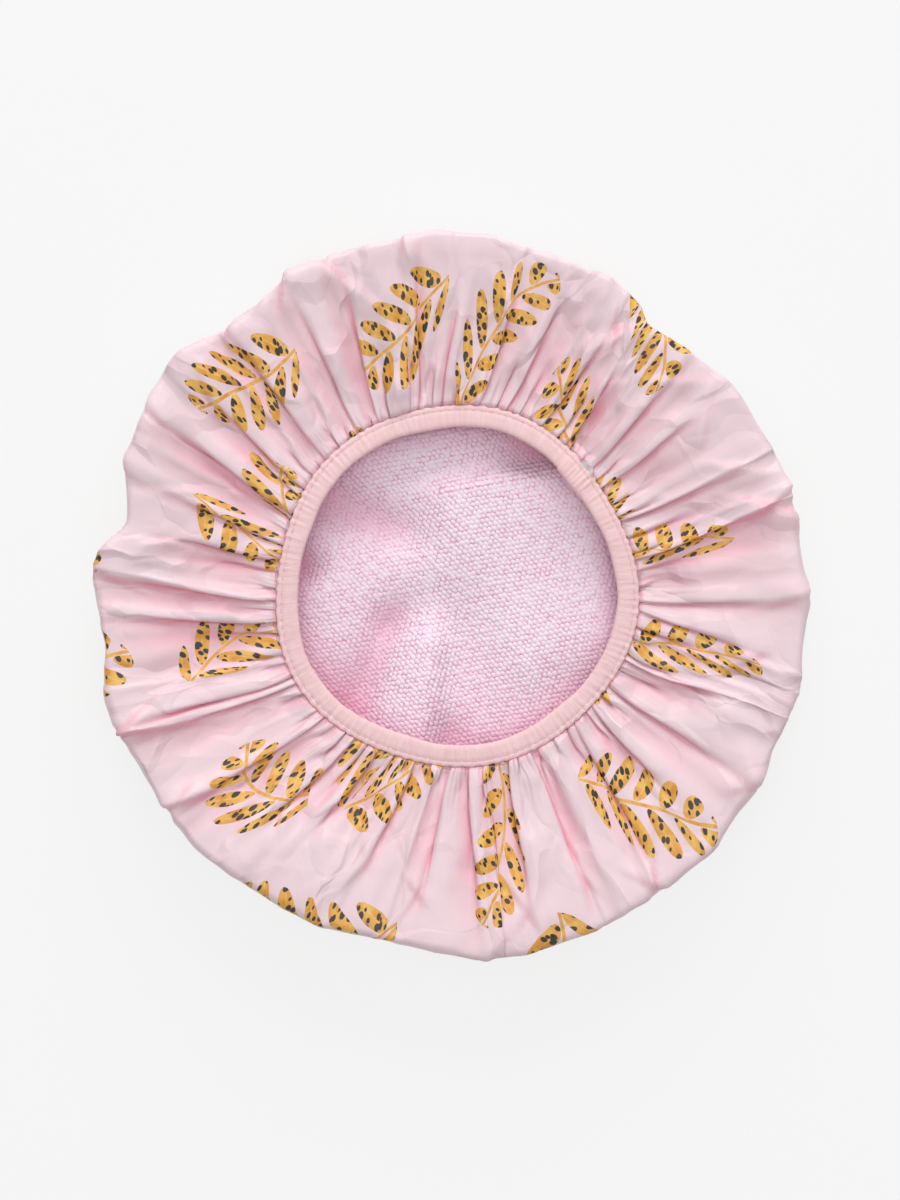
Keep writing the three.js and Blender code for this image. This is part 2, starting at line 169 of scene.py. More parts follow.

# Towelling lining, cut as one round
LINING_CUT_RADIUS = 222.0
LINING_THICKNESS = 1.6
LINING_SEAM_THICKNESS = 0.7
LINING_LEVEL = -0.4  # middle of its edge above the middle of the binding
LINING_COLUMNS = 288
LINING_PUCKERS = 44
LINING_FLOOR = 10.5
LINING_RUNS = ((0, 12, 1.5), (12, 110, 3.5), (110, 221, 2.5))  # rows: from, to and step along the cloth
LINING_COARSE = 185  # from here on to its middle it has half as many columns
LINING_EASING = (3, 7, 3, 8)  # its bends: rounding, samples, start from the raw edge, run to the full
LINING_SEAM_WIDTH = (3, 8)  # it thickens between these distances from its raw edge
LINING_PUCKER_DEPTH = ((2, 0), (10, 1.6), (40, 2.6), (85, 1.4), (105, 0))  # distance from the raw edge, depth
LINING_PUCKER_WAVES = ((3, 1, 1.6), (7, 0, 1.1))  # unevenness of the puckers: lobes, start and size
LINING_LIES = (100, 122)  # distances from the raw edge between which it comes to lie on the crown
LINING_SWELLS = ((0.8, 17, 21), (0.5, 23, 11))  # gentle swells of it: size, and run across and up
LINING_FOLD_END = 14  # its soft folds run out over this length
# Soft folds of the towelling on the crown: ends, height, which is below 0 for a valley, and how far
# each side slopes, left then right
LINING_FOLDS = (
    ((52, 48), (0, 39), 9.0, 36.0, 6.0),
    ((-15, -72), (-11, -28), 7.0, 16.0, 8.0),
    ((-46, 33), (-26, 24), -5.0, 9.0, 10.0),
    ((-43, -52), (-27, -17), -5.0, 8.0, 9.0),
    ((30, -30), (62, -20), 4.5, 32.0, 18.0),
    ((-36, 54), (8, 61), 8.0, 16.0, 12.0),
    ((14, 63), (44, 49), -2.0, 9.0, 7.0),
    ((-54, 0), (-12, 8), 4.0, 22.0, 20.0),
)
# Hollows between its folds: middle, depth and spread
LINING_HOLLOWS = (
    (34, 54, 2.0, 12.0), (-64, 8, 6.0, 8.0), (-30, -17, 2.0, 7.0), (-48, -44, 2.5, 14.0),
    (-5, -64, 3.5, 9.0), (48, -44, 1.5, 16.0),
)
HOLLOW_PAINTED_SHADE = 0.56  # painted shade, a deeper colour, in its hollows
HOLLOW_LEVELS = (3, -5)  # from this height over LINING_FLOOR down to this one
BINDING_PAINTED_SHADE = 0.5  # painted shade, a deeper colour, under the binding
BINDING_PAINTED_SHADE_BAND = (56, 70)  # from this distance from the middle to this one
LOOP_FIELD = 79.0  # loops stand out to this distance from the middle
RIB_ANGLE = math.radians(-47)  # ribs of loops run this way
RIB_SPACING = 1.75
LOOP_PITCH = 2.25
LOOP_SIZE = (1.3, 1.06, 0.46)  # half length along the rib, half width and half height
LOOP_UNEVENNESS = 0.2
LOOP_SEED = 5
LOOP_SOFTNESS = 0.5  # share by which their shading follows the lining's surface
LOOP_SCATTER = (0.2, 0.14)  # along the rib and aside
LOOP_TURN = 0.3  # radians to either side
LOOP_LIFT = 0.06  # a loop's middle above the lining's surface
RIB_SWAY = 0.25
RIB_SWAY_RUN = (9, 5)  # along a rib in millimetres, and across in ribs

# Binding tape and its stitches
TAPE_THICKNESS = 0.45
TAPE_START = math.radians(40)
TAPE_LAP = 12.0
TAPE_COLUMNS = 900
TAPE_FACE = ((0.0, 1.15), (0.6, 1.6), (1.9, 1.7), (2.2, 1.5), (2.5, 1.7), (4.2, 1.82), (6.4, 1.86),
             (7.8, 1.78), (8.35, 1.4), (8.62, 0.7), (8.7, 0.0))  # distance inside the outer edge, height
TAPE_WANDER = 0.9  # its inner edge wanders this far inwards
TAPE_WANDER_WAVES = ((7, 1, 0.22), (12, 2, 0.16), (19, 0, 0.12))  # lobes, start and share
TAPE_WANDER_START = 3.0  # distance inside the outer edge
TAPE_EDGE_WAVE = 0.22  # size of the small waves of its outer edge
TAPE_EDGE_LOBES = (97, 13)  # of these waves, and of the one that makes them uneven
TAPE_EDGE_DEPTH = 1.2  # they die out over this distance inside it
LAP_GAP = 0.1  # between the tape's start and the end over it
LAP_RISE = 0.6  # share of the lap over which the end rises on the start
PUCKER_HEIGHT = (0.06, 0.09)  # everywhere, and more in patches
WRINKLE_HEIGHT = 0.3  # beside the lap
WRINKLE_REACH = 11
TAPE_MAP = 1000.0  # millimetres of tape to one unit of its UV map
ELASTIC_SHOWS = (38.6, 45.1)  # degrees round the mouth where the elastic's edge shows beside the tape's lap
ELASTIC_EDGE = (1.7, 0.4)  # how far it comes out, and its thickness
ELASTIC_TUCK = 0.7  # how far it goes in under the tape
ELASTIC_LEVELS = (1.5, 2.7)  # heights of its tucked and its free edge above the middle of the binding
ELASTIC_STATIONS = 15
STITCH_INSET = 2.2
STITCH_PITCH = 3.4
STITCH_SIZE = (1.4, 0.16, 0.12)  # half length, half width and half height
STITCH_LIFT = 0.08  # a stitch's middle above the tape's face
STITCH_UNEVENNESS = 0.08
STITCH_SEED = 9
RIB_PITCH = 0.62
TAPE_GATHER_SPACING = 1.5  # between the fine gathers across the tape
TAPE_GATHER_RUN = 12.0  # length of one across it
THREAD_TWIST = 0.0005  # metres between turns of a thread's twist
ELASTIC_RIBS = 620

# Printed sprigs
SPRIG_SPACING = 86.0
SPRIG_SCATTER = 0.45
SPRIG_LENGTH = 74.0
SPRIG_BOW = 0.006
LEAF_LENGTH = 19.0
LEAF_WIDTH = 8.2
LEAF_PITCH = 12.5
LEAF_SLANT = 0.75
LEAF_STALK = 1.0
STEM_WIDTH = 1.3
FLECK_SPACING = 3.3
FLECK_SCATTER = 0.85
FLECK_SHAPE = (1.0, 0.62, 1.0)  # scale of their pattern along and across the sprig, less is longer
FLECK_EDGE = 0.05
FLECK_SIZE = (0.12, 0.26)  # smallest, and how much larger the largest is, as shares of their spacing
VEIN_HALF_WIDTH = 0.25
PRINT_EDGE = 0.3  # softness of the leaves' edges
STEM_EDGE = 0.25

# Colours, sRGB
SHELL_PINK = (236, 213, 219)
SHELL_PINK_DEEP = (234, 205, 212)
# painted shade of the shell's valleys
SHELL_PINK_PAINTED_SHADE = (241, 166, 182)
LEAF_AMBER = (214, 142, 48)
LEAF_OCHRE = (240, 192, 100)
FLECK_DARK = (44, 34, 28)
TERRY_PALE = (255, 242, 251)
TERRY_LILAC = (255, 237, 249)
TERRY_PINK = (255, 227, 243)
# painted shade of the towelling's hollows and under the binding
TERRY_PAINTED_SHADE = (247, 184, 208)
# painted shade between the loops of the woven ground
TERRY_GROUND_PAINTED_SHADE = (238, 174, 200)
TAPE_PALE = (255, 221, 222)
# darker where the tape's weave and gathers lie low: painted shade, with random patches
TAPE_DEEP = (243, 196, 199)
THREAD_PINK = (236, 198, 200)
# painted shade in the grooves of the stitching's twist
THREAD_PINK_DEEP = (214, 172, 176)
THREAD_GREY = (208, 196, 200)
# painted shade in the grooves of the grey thread's twist
THREAD_GREY_DEEP = (172, 158, 164)
ELASTIC_WHITE = (238, 236, 238)
# painted shade between the elastic's ribs
ELASTIC_GREY = (206, 204, 210)
FLOOR_WHITE = 0.94
ROOM_LIGHT = 0.40  # strength of the light from all round
FLOOR_EVENNESS = 0.85  # share of the floor's own white in the picture, the rest is lit and shaded

# Stage, in metres
FLOOR_SIZE = 4
FLOOR_DROP = 0.0002
FLOOR_PAPER = ((0.90, 0.90, 0.90, 1), (0.92, 0.92, 0.92, 1))  # darkest and palest grain
# Lamps: name, place, size and power in watts
LAMPS = (("soft_key", (0.1, 2.4, 1.35), 2.0, 55), ("soft_top", (0.0, 0.0, 2.6), 1.6, 17))
IMAGE_SIZE = (900, 1200)  # pixels
PIXEL_SIZE = 0.4167 * MM
MOUTH_PIXEL = (456, 585.5)  # where the middle of the mouth lies in the image
CAMERA_DISTANCE = 2.2
CAMERA_LEVEL = 0.03  # height that the distance is taken from
SENSOR_HEIGHT = 36  # millimetres


def mouth_radius(angle):
    waves = [size * np.cos(lobes * (angle - math.radians(at))) for lobes, size, at in MOUTH_WAVES]
    return MOUTH_RADIUS + sum(waves)


def mouth_height(angle):
    return MOUTH_HEIGHT + MOUTH_SWAY * np.sin(MOUTH_SWAY_LOBES * angle)


def turn_between(first, second):
    return first[..., 0] * second[..., 1] - first[..., 1] * second[..., 0]


def ripple(waves, angle):
    """Sum of waves round the cap, each with its lobes, start and size."""
    return sum(size * np.sin(lobes * angle + start) for lobes, start, size in waves)


def fold_radius(angle):
    """Plan radius of the outer fold, straight between its corners and a little rounded at them."""
    corners = np.array(FOLD_CORNERS, float)
    corner_angle = np.arctan2(corners[:, 1], corners[:, 0]) % TURN
    order = np.argsort(corner_angle)
    corners, corner_angle = corners[order], corner_angle[order]
    total = np.zeros_like(angle)
    weights = 0.0
    for step in np.linspace(-2, 2, 9):
        at = (angle + math.radians(step * FOLD_CORNER_ROUNDING)) % TURN
        following = np.searchsorted(corner_angle, at) % len(corners)
        start = corners[following - 1]
        side = corners[following] - start
        ray = np.stack([np.cos(at), np.sin(at)], -1)
        weight = math.exp(-0.5 * step * step)
        total += weight * turn_between(start, side) / turn_between(ray, side)
        weights += weight
    return total / weights


def smooth_step(low, high, value):
    share = np.clip((value - low) / (high - low), 0, 1)
    return share * share * (3 - 2 * share)


def shell_rows():
    """Distances of the cloth's rows from its raw edge, fine at the gathers and coarse on the crown."""
    steps = [step for step, count in SHELL_STEPS for _ in range(count)]
    return np.concatenate([[0], np.cumsum(steps)])


def along_section(corners, distances, cut_radius, easing):
    """Radius and height at distances along a sheet, from the corners of its section at each angle."""
    reach, samples, start, run = easing
    corner = np.array(corners).transpose(0, 2, 1)
    columns = corner.shape[1]
    steps = np.linalg.norm(np.diff(corner, axis=0), axis=-1)
    length = np.concatenate([np.zeros((1, columns)), np.cumsum(steps, axis=0)])
    spread = np.clip((distances - start) / run, 0, 1)
    found = np.zeros((len(distances), columns, 2))
    for column in range(columns):
        along = length[:, column] * (cut_radius / length[-1, column])
        for shift in np.linspace(-reach, reach, samples):
            at = np.clip(distances + shift * spread, 0, cut_radius)
            for part in (0, 1):
                found[:, column, part] += np.interp(at, along, corner[:, column, part]) / samples
    return found


def shell_profile(angles, distances):
    """Smooth section of the cap at each angle: radius and height at distances along the cloth."""
    mouth, fold = mouth_radius(angles), fold_radius(angles)
    level = mouth_height(angles)
    reach = fold - mouth
    flat = np.full_like(angles, 0.5 * SHELL_THICKNESS)
    seam = level + SHELL_LEVEL
    shoulder = level + DISH_RISE
    rim = np.full_like(angles, RIM_HEIGHT)
    corners = (
        # Out of the binding
        (mouth - SEAM_ALLOWANCE, seam),
        (mouth + 0.15, seam),
        (mouth + 0.5, seam + 1.2),
        (mouth + 1.6, seam + 1.6),
        # Up the gathered top to its shoulder
        (mouth + 5, level + 0.2 * DISH_RISE),
        (mouth + 0.25 * reach, level + 0.36 * DISH_RISE),
        (mouth + 0.6 * reach, level + 0.7 * DISH_RISE),
        (fold - 8, shoulder),
        (fold - 0.9, shoulder + 0.2),
        # Down the side
        (fold - 0.2, rim + 7),
        (fold, rim),
        (fold - 1.5, rim - 12),
        (fold - 6, rim - 21.5),
        # In along the crown
        (fold - REST_INSET, flat),
        (0 * fold, flat),
    )
    return along_section(corners, distances, CUT_RADIUS, SHELL_EASING)


def by_distance(table, distance):
    """Value at a distance, from a table of distances and values."""
    return np.interp(distance, *zip(*table))


def knife_folds():
    """Places, kinds, reaches and leans of the folds. Beside the mouth they fall towards the bottom."""
    rng = np.random.default_rng(FOLD_SEED)
    place = (np.arange(FOLDS) + rng.uniform(-FOLD_SCATTER, FOLD_SCATTER, FOLDS)) * TURN / FOLDS
    corners = np.array(FOLD_CORNERS, float)
    corner_angle = np.sort(np.arctan2(corners[:, 1], corners[:, 0]) % TURN)
    count = len(corners)
    nearest = (np.arange(count) + rng.uniform(-LONG_SCATTER, LONG_SCATTER, count)) * FOLDS / count
    long = np.zeros(FOLDS, bool)
    long[np.round(nearest).astype(int) % FOLDS] = True
    middle = ~long & (rng.random(FOLDS) < MIDDLE_SHARE)
    reach = rng.uniform(*SHORT_REACH, FOLDS)
    reach[middle] = rng.uniform(*MIDDLE_REACH, middle.sum())
    reach[long] = rng.uniform(*LONG_REACH, long.sum())
    falls = np.where(np.cos(place) > 0, -1, 1)
    beside = np.abs(np.cos(place)) + rng.uniform(-LEAN_LIMIT, LEAN_LIMIT, FOLDS) > LEAN_LIMIT
    lean = np.where(beside, falls, np.sign(np.sin(LEAN_LOBES * place)))
    corner = np.round(np.linspace(0, count, long.sum(), endpoint=False)).astype(int)
    shift = corner_angle[corner] - place[long]
    shift = np.clip((shift + math.pi) % TURN - math.pi, -LONG_DRIFT, LONG_DRIFT)
    drift = np.interp(place, place[long], shift * fold_radius(place[long]) / RIM_DISTANCE, period=TURN)
    strength = rng.uniform(*FOLD_STRENGTH, FOLDS)
    return place, long, middle, reach, lean, drift, strength


def folded_row(folds, distance, radius):
    """Angles and drops of a row's points, in the cloth's own order round the mouth."""
    place, long, middle, reach, lean, drift, strength = folds
    here = place + drift * max(distance, 0) / radius
    half = FOLD_HALF_WIDTH * TURN / FOLDS
    fade = np.clip((reach - distance) / (FOLD_FADE * reach), 0, 1)
    turned = np.concatenate([here - half, here + half])
    drop = np.zeros(2 * FOLDS)
    kinds = (
        (long, LONG_DEPTH, LONG_LAP, 0.0),
        (middle, MIDDLE_DEPTH, MIDDLE_LAP, SHORTER_RISE),
        (~long & ~middle, SHORT_DEPTH, SHORT_LAP, SHORTER_RISE),
    )
    set_at, set_turn, set_drop = np.zeros(0), np.zeros(0), np.zeros(0)
    for kind, depths, laps, rise in kinds:
        index = np.flatnonzero(kind)
        at = np.concatenate([here[index] - half, here[index] + half])
        turn_shift, base = np.zeros(len(at)), np.zeros(len(at))
        if len(set_at):
            order = np.argsort(set_at)
            turn_shift = np.interp(at, set_at[order], (set_turn - set_at)[order], period=TURN)
            base = np.interp(at, set_at[order], set_drop[order], period=TURN)
        size = strength[index] * fade[index]
        deep = by_distance(depths, distance) * size
        lap = by_distance(laps, distance) * size / radius
        gap = 0.5 * lap + half * size
        first_turn = at[:len(index)] + turn_shift[:len(index)] + gap
        last_turn = at[len(index):] + turn_shift[len(index):] - gap
        ridge, valley = -rise * deep, (1 - rise) * deep
        first_drop = base[:len(index)] + np.where(lean[index] > 0, ridge, valley)
        last_drop = base[len(index):] + np.where(lean[index] > 0, valley, ridge)
        turned[index], turned[FOLDS + index] = first_turn, last_turn
        drop[index], drop[FOLDS + index] = first_drop, last_drop
        set_at = np.concatenate([set_at, at])
        set_turn = np.concatenate([set_turn, first_turn, last_turn])
        set_drop = np.concatenate([set_drop, first_drop, last_drop])
        if kind is long:
            after = np.roll(index, -1)
            tent = (lean[index] > 0) & (lean[after] < 0)
            crest = here[index] + 0.5 * ((here[after] - here[index]) % TURN)
            set_at = np.concatenate([set_at, crest[tent]])
            set_turn = np.concatenate([set_turn, crest[tent]])
            set_drop = np.concatenate([set_drop, np.zeros(tent.sum())])
    bulge = by_distance(FACE_BULGE, distance)
    sag = by_distance(FACE_HOLLOW, distance)
    angles, drops = [], []
    for k in range(FOLDS):
        after = (k + 1) % FOLDS
        ends = (turned[k], turned[FOLDS + k], turned[after] + (TURN if after == 0 else 0))
        sinks = (drop[k], drop[FOLDS + k], drop[after])
        for step in range(BACK_STEPS):
            share = step / BACK_STEPS
            angles.append(ends[0] + share * (ends[1] - ends[0]))
            drops.append(sinks[0] + share * (sinks[1] - sinks[0]))
        for step in range(FACE_STEPS):
            share = step / FACE_STEPS
            angles.append(ends[1] + share * (ends[2] - ends[1]))
            side = (1 - share) if sinks[1] > sinks[2] else -share
            hang = sag * (sinks[1] - sinks[2]) * share * (1 - share) * side
            swell = bulge * 4 * share * (1 - share)
            drops.append(sinks[1] + share * (sinks[2] - sinks[1]) - swell - hang)
    return np.array(angles), np.array(drops)


def crease_lines(folds):
    """Short creases: one or two at a slant where each fold runs out, and loose ones out to the side."""
    place, long, middle, reach, _, drift, _ = folds
    rng = np.random.default_rng(FOLD_SEED + 2)
    lines = []
    for fold in np.flatnonzero(long | middle):
        for way in rng.permutation((-1, 1))[:rng.integers(1, 3)]:
            out = min(reach[fold] * rng.uniform(*CREASE_START), RIM_DISTANCE - CREASE_RIM_ROOM)
            at = place[fold] + drift[fold] * out / (MOUTH_RADIUS + out)
            at = at + rng.uniform(-CREASE_SCATTER, CREASE_SCATTER)
            length = rng.uniform(*CREASE_LENGTH) * reach[fold]
            slant = way * rng.uniform(*CREASE_SLANT)
            lines.append((at, out, slant, length, rng.uniform(*CREASE_HEIGHT) * length))
    for _ in range(LOOSE_CREASES):
        at = rng.uniform(0, TURN)
        ranges = (LOOSE_START, LOOSE_SLANT, LOOSE_LENGTH, LOOSE_HEIGHT)
        lines.append((at, *[rng.uniform(*limits) for limits in ranges]))
    return lines


def small_creases(lines, angle, distance, radius):
    """Height of the short creases along a row, depth in their feet, and the share of them that is left.

    They are lower near the widest part of the cap.
    """
    height, foot = np.zeros_like(angle), np.zeros_like(angle)
    for at, out, slant, length, tall in lines:
        if abs(distance - out) > length + CREASE_MARGIN:
            continue
        aside = ((angle - at + math.pi) % TURN - math.pi) * radius
        along = aside * math.sin(slant) + (distance - out) * math.cos(slant)
        across = aside * math.cos(slant) - (distance - out) * math.sin(slant)
        across = across if slant > 0 else -across
        fall = np.where(across > 0, across / CREASE_SLOPE[1], -across / CREASE_SLOPE[0])
        ridge = np.maximum(1 - fall, 0)
        run_out = np.maximum(1 - (along / length) ** 2, 0)
        height += tall * ridge * run_out
        foot += tall * np.maximum(1 - np.abs(across + CREASE_SLOPE[0]) / CREASE_FOOT, 0) * run_out
    from_rim = distance - RIM_DISTANCE
    calm = 1 - RIM_CALM[0] * math.exp(-(from_rim / RIM_CALM[1]) ** 2)
    past, spread = WALL_WAVE_PLACE
    wall = WALL_WAVE_HEIGHT * np.exp(-((from_rim - past) / spread) ** 2) * ripple(WALL_WAVES, angle)
    return height * calm + wall, foot * calm, calm


def facet_middles():
    """Middles of the facets that are pressed in, then of those that stand out."""
    rng = np.random.default_rng(FOLD_SEED + 3)
    reach = FACET_FIELD[1] / FACET_STRETCH
    middles = []
    for _ in range(2):
        aside = rng.uniform(0, FACET_FIELD[0], FACETS)
        middles.append((aside, rng.uniform(FACET_FIELD_START, reach, FACETS)))
    return middles


def facet_height(middles, angle, distance):
    """Height of the cloth's facets, flat between the creases that divide them."""
    width = FACET_FIELD[0]
    aside = (angle % TURN) * width / TURN
    near = []
    for middle_aside, middle_out in middles:
        gap = (aside[:, None] - middle_aside + 0.5 * width) % width - 0.5 * width
        near.append((gap ** 2 + (distance / FACET_STRETCH - middle_out) ** 2).min(1))
    apart = np.clip(near[0] - near[1], -FACET_LIMIT, FACET_LIMIT)
    return 0.5 * FACET_STEEPNESS * apart * smooth_step(*FACET_FADE, distance)


def gathered_shell(rows):
    """Points of the gathered cloth: the smooth section with folds, creases and facets drawn into it, and the
    depths that its painted shade is coloured by.
    """
    around = np.arange(SECTION_COLUMNS) * TURN / SECTION_COLUMNS
    section = shell_profile(around, rows)
    way = np.gradient(section, axis=0)
    out = np.stack([-way[..., 1], way[..., 0]], -1)
    out /= np.linalg.norm(out, axis=-1, keepdims=True) + 1e-9
    folds = knife_folds()
    lines = crease_lines(folds)
    middles = facet_middles()
    place = np.zeros((len(rows), SHELL_COLUMNS, 3))
    unfolded = np.zeros_like(place)
    painted_shade = np.zeros((len(rows), SHELL_COLUMNS))
    for row, distance in enumerate(rows - SEAM_ALLOWANCE):
        mean_radius = section[row, :, 0].mean()
        angle, drop = folded_row(folds, distance, mean_radius + 1)
        smooth = (section[row, :, 0], section[row, :, 1], out[row, :, 0], out[row, :, 1])
        radius, height, aside, up = [np.interp(angle, around, value, period=TURN) for value in smooth]
        crease, foot, calm = small_creases(lines, angle, distance, mean_radius)
        crease = crease + calm * facet_height(middles, angle, distance)
        # painted shade from the fold's depth, the feet of creases and a band beside the binding
        from_seam = abs(distance - SEAM_PAINTED_SHADE_BAND[0]) / SEAM_PAINTED_SHADE_BAND[1]
        painted_shade[row] = drop + CREASE_PAINTED_SHADE * foot + SEAM_PAINTED_SHADE * max(1 - from_seam, 0)
        drop = drop - crease * smooth_step(*CREASED_HEIGHTS, height)
        reach = radius - drop * aside
        place[row] = np.stack([reach * np.cos(angle), reach * np.sin(angle), height - drop * up], -1)
        unfolded[row] = np.stack([aside * np.cos(angle), aside * np.sin(angle), up], -1)
    neighbours = np.roll(place, 1, 1) + np.roll(place, -1, 1)
    place = (1 - 2 * POINT_EASING) * place + POINT_EASING * neighbours
    step = np.linalg.norm(np.roll(place, -1, 1) - place, axis=-1)
    near = (rows > SPACING_ROWS[0]) & (rows < SPACING_ROWS[1])
    share = (step[near] / step[near].sum(1, keepdims=True)).mean(0)
    share = SPACING_SHARE * share + (1 - SPACING_SHARE) / SHELL_COLUMNS
    turned = TURN * (np.cumsum(share) - share)
    # painted shade, more on flanks that turn steeply away from the smooth section
    steep = 1 - (sheet_normals(place) * unfolded).sum(-1)
    return place, turned, painted_shade + FLANK_PAINTED_SHADE * np.clip(steep, 0, 1)


def mesh_object(name, points, faces):
    mesh = bpy.data.meshes.new(name)
    mesh.from_pydata((np.asarray(points) * MM).tolist(), [], faces)
    mesh.update()
    piece = bpy.data.objects.new(name, mesh)
    bpy.context.scene.collection.objects.link(piece)
    return piece


def linear(colour):
    """Scene colour of an sRGB colour given as 0 to 255."""
    part = np.array(colour, float) / 255
    return (*np.where(part < 0.04045, part / 12.92, ((part + 0.055) / 1.055) ** 2.4), 1.0)


class NodeDesk:
    """Adds and links the nodes of one tree."""

    def __init__(self, tree):
        self.tree = tree

    def add(self, kind, **settings):
        node = self.tree.nodes.new(kind)
        for name, value in settings.items():
            setattr(node, name, value)
        return node

    def put(self, socket, value):
        if isinstance(value, bpy.types.NodeSocket):
            self.tree.links.new(value, socket)
        else:
            socket.default_value = value

    def fill(self, node, **settings):
        """Sets or links a node's inputs, given with underscores for the spaces in their names."""
        for name, value in settings.items():
            self.put(node.inputs[name.replace("_", " ")], value)
        return node

    def math(self, operation, *values):
        node = self.add("ShaderNodeMath", operation=operation)
        for socket, value in zip(node.inputs, values):
            self.put(socket, value)
        return node.outputs[0]

    def vector(self, operation, *values):
        node = self.add("ShaderNodeVectorMath", operation=operation)
        for socket, value in zip(node.inputs, values):
            self.put(socket, value)
        return node.outputs[0]

    def below(self, value, limit, softness):
        """1 where a value is well below its limit and 0 where it is above."""
        past = self.math("DIVIDE", self.math("SUBTRACT", value, limit), softness)
        return self.math("MULTIPLY_ADD", self.clamped(past), -1.0, 1.0)

    def clamped(self, value):
        node = self.add("ShaderNodeClamp")
        self.put(node.inputs["Value"], value)
        return node.outputs[0]

    def mix(self, share, first, second):
        node = self.add("ShaderNodeMix", data_type="RGBA")
        for socket, value in ((node.inputs[0], share), (node.inputs[6], first), (node.inputs[7], second)):
            self.put(socket, value)
        return node.outputs[2]

    def ramp(self, value, low, high, to_low, to_high):
        node = self.add("ShaderNodeMapRange")
        self.fill(node, Value=value, From_Min=low, From_Max=high, To_Min=to_low, To_Max=to_high)
        return node.outputs[0]

    def noise(self, vector, scale, detail):
        node = self.fill(self.add("ShaderNodeTexNoise"), Vector=vector, Scale=scale, Detail=detail)
        return node.outputs["Fac"]

    def cells(self, vector, scale, randomness):
        node = self.add("ShaderNodeTexVoronoi", voronoi_dimensions="2D")
        return self.fill(node, Vector=vector, Scale=scale, Randomness=randomness).outputs

    def bump(self, height, distance, strength, before=None):
        node = self.fill(self.add("ShaderNodeBump"), Height=height, Distance=distance, Strength=strength)
        if before is not None:
            self.put(node.inputs["Normal"], before)
        return node.outputs[0]

    def split(self, vector):
        node = self.add("ShaderNodeSeparateXYZ")
        self.put(node.inputs[0], vector)
        return node.outputs


def start_material(name, roughness, **shader_values):
    """A new material, the desk for its nodes, and its shader with the values that are the same all over."""
    material = bpy.data.materials.new(name)
    material.use_nodes = True
    shader = material.node_tree.nodes["Principled BSDF"]
    shader.inputs["Roughness"].default_value = roughness
    for socket, value in shader_values.items():
        shader.inputs[socket.replace("_", " ")].default_value = value
    return material, NodeDesk(material.node_tree), shader


def flat_millimetres(desk, size):
    """Place on the flat cloth in millimetres, from its UV map."""
    flat = desk.add("ShaderNodeUVMap", uv_map="cut").outputs[0]
    return desk.vector("MULTIPLY", flat, (size, size, 0.0))


def sprig_print():
    """Shader group for the printed leaf sprigs: where leaves, their dark flecks and their veins lie."""
    tree = bpy.data.node_groups.new("leaf_sprig_print", "ShaderNodeTree")
    tree.interface.new_socket("Flat", in_out="INPUT", socket_type="NodeSocketVector")
    for name in ("Leaf", "Fleck", "Tone"):
        tree.interface.new_socket(name, in_out="OUTPUT", socket_type="NodeSocketFloat")
    desk = NodeDesk(tree)
    flat = desk.add("NodeGroupInput").outputs[0]
    cell = desk.cells(flat, 1 / SPRIG_SPACING, SPRIG_SCATTER)
    turned = desk.add("ShaderNodeVectorRotate", rotation_type="Z_AXIS")
    desk.put(turned.inputs["Vector"], desk.vector("SUBTRACT", flat, cell["Position"]))
    desk.put(turned.inputs["Angle"], desk.math("MULTIPLY", desk.split(cell["Color"])[0], TURN))
    along, aside, _ = desk.split(turned.outputs[0])
    bow = desk.math("MULTIPLY", desk.math("MULTIPLY", along, along), SPRIG_BOW)
    aside = desk.math("SUBTRACT", aside, bow)
    out = desk.math("ABSOLUTE", aside)
    side = desk.math("GREATER_THAN", aside, 0.0)
    end = desk.math("DIVIDE", along, SPRIG_LENGTH / 2)
    narrowing = desk.math("SUBTRACT", 1.0, desk.math("MULTIPLY", end, end))
    taper = desk.math("SQRT", desk.math("MAXIMUM", narrowing, 0.001))
    leaf_length = desk.math("MULTIPLY", taper, LEAF_LENGTH)
    reach = desk.clamped(desk.math("DIVIDE", desk.math("SUBTRACT", out, LEAF_STALK), leaf_length))
    slant = desk.math("SUBTRACT", along, desk.math("MULTIPLY", out, LEAF_SLANT))
    slant = desk.math("ADD", slant, desk.math("MULTIPLY", side, LEAF_PITCH / 2))
    across = desk.math("PINGPONG", slant, LEAF_PITCH / 2)
    belly = desk.math("MULTIPLY", reach, desk.math("SUBTRACT", 1.0, reach))
    half_width = desk.math("MULTIPLY", desk.math("SQRT", desk.math("MAXIMUM", belly, 0.0)), LEAF_WIDTH)
    inside = desk.math("LESS_THAN", desk.math("ABSOLUTE", end), 1.0)
    blade = desk.math("MULTIPLY", inside, desk.math("GREATER_THAN", belly, 0.004))
    leaf = desk.math("MULTIPLY", desk.below(across, half_width, PRINT_EDGE), blade)
    stem = desk.math("MULTIPLY", desk.below(out, STEM_WIDTH / 2, STEM_EDGE), inside)
    shaped = desk.vector("MULTIPLY", turned.outputs[0], FLECK_SHAPE)
    spots = desk.cells(shaped, 1 / FLECK_SPACING, FLECK_SCATTER)
    spot_size = desk.math("MULTIPLY_ADD", desk.split(spots["Color"])[1], FLECK_SIZE[1], FLECK_SIZE[0])
    fleck = desk.math("MULTIPLY", desk.below(spots["Distance"], spot_size, FLECK_EDGE), leaf)
    vein = desk.below(across, VEIN_HALF_WIDTH, PRINT_EDGE)
    wash = desk.noise(flat, scale=0.16, detail=3.0)
    tone = desk.math("ADD", desk.ramp(wash, 0.34, 0.64, 0.0, 0.85), desk.math("MULTIPLY", vein, 0.3))
    outputs = desk.add("NodeGroupOutput").inputs
    desk.put(outputs["Leaf"], desk.math("MAXIMUM", leaf, stem))
    desk.put(outputs["Fleck"], fleck)
    desk.put(outputs["Tone"], desk.clamped(tone))
    return tree


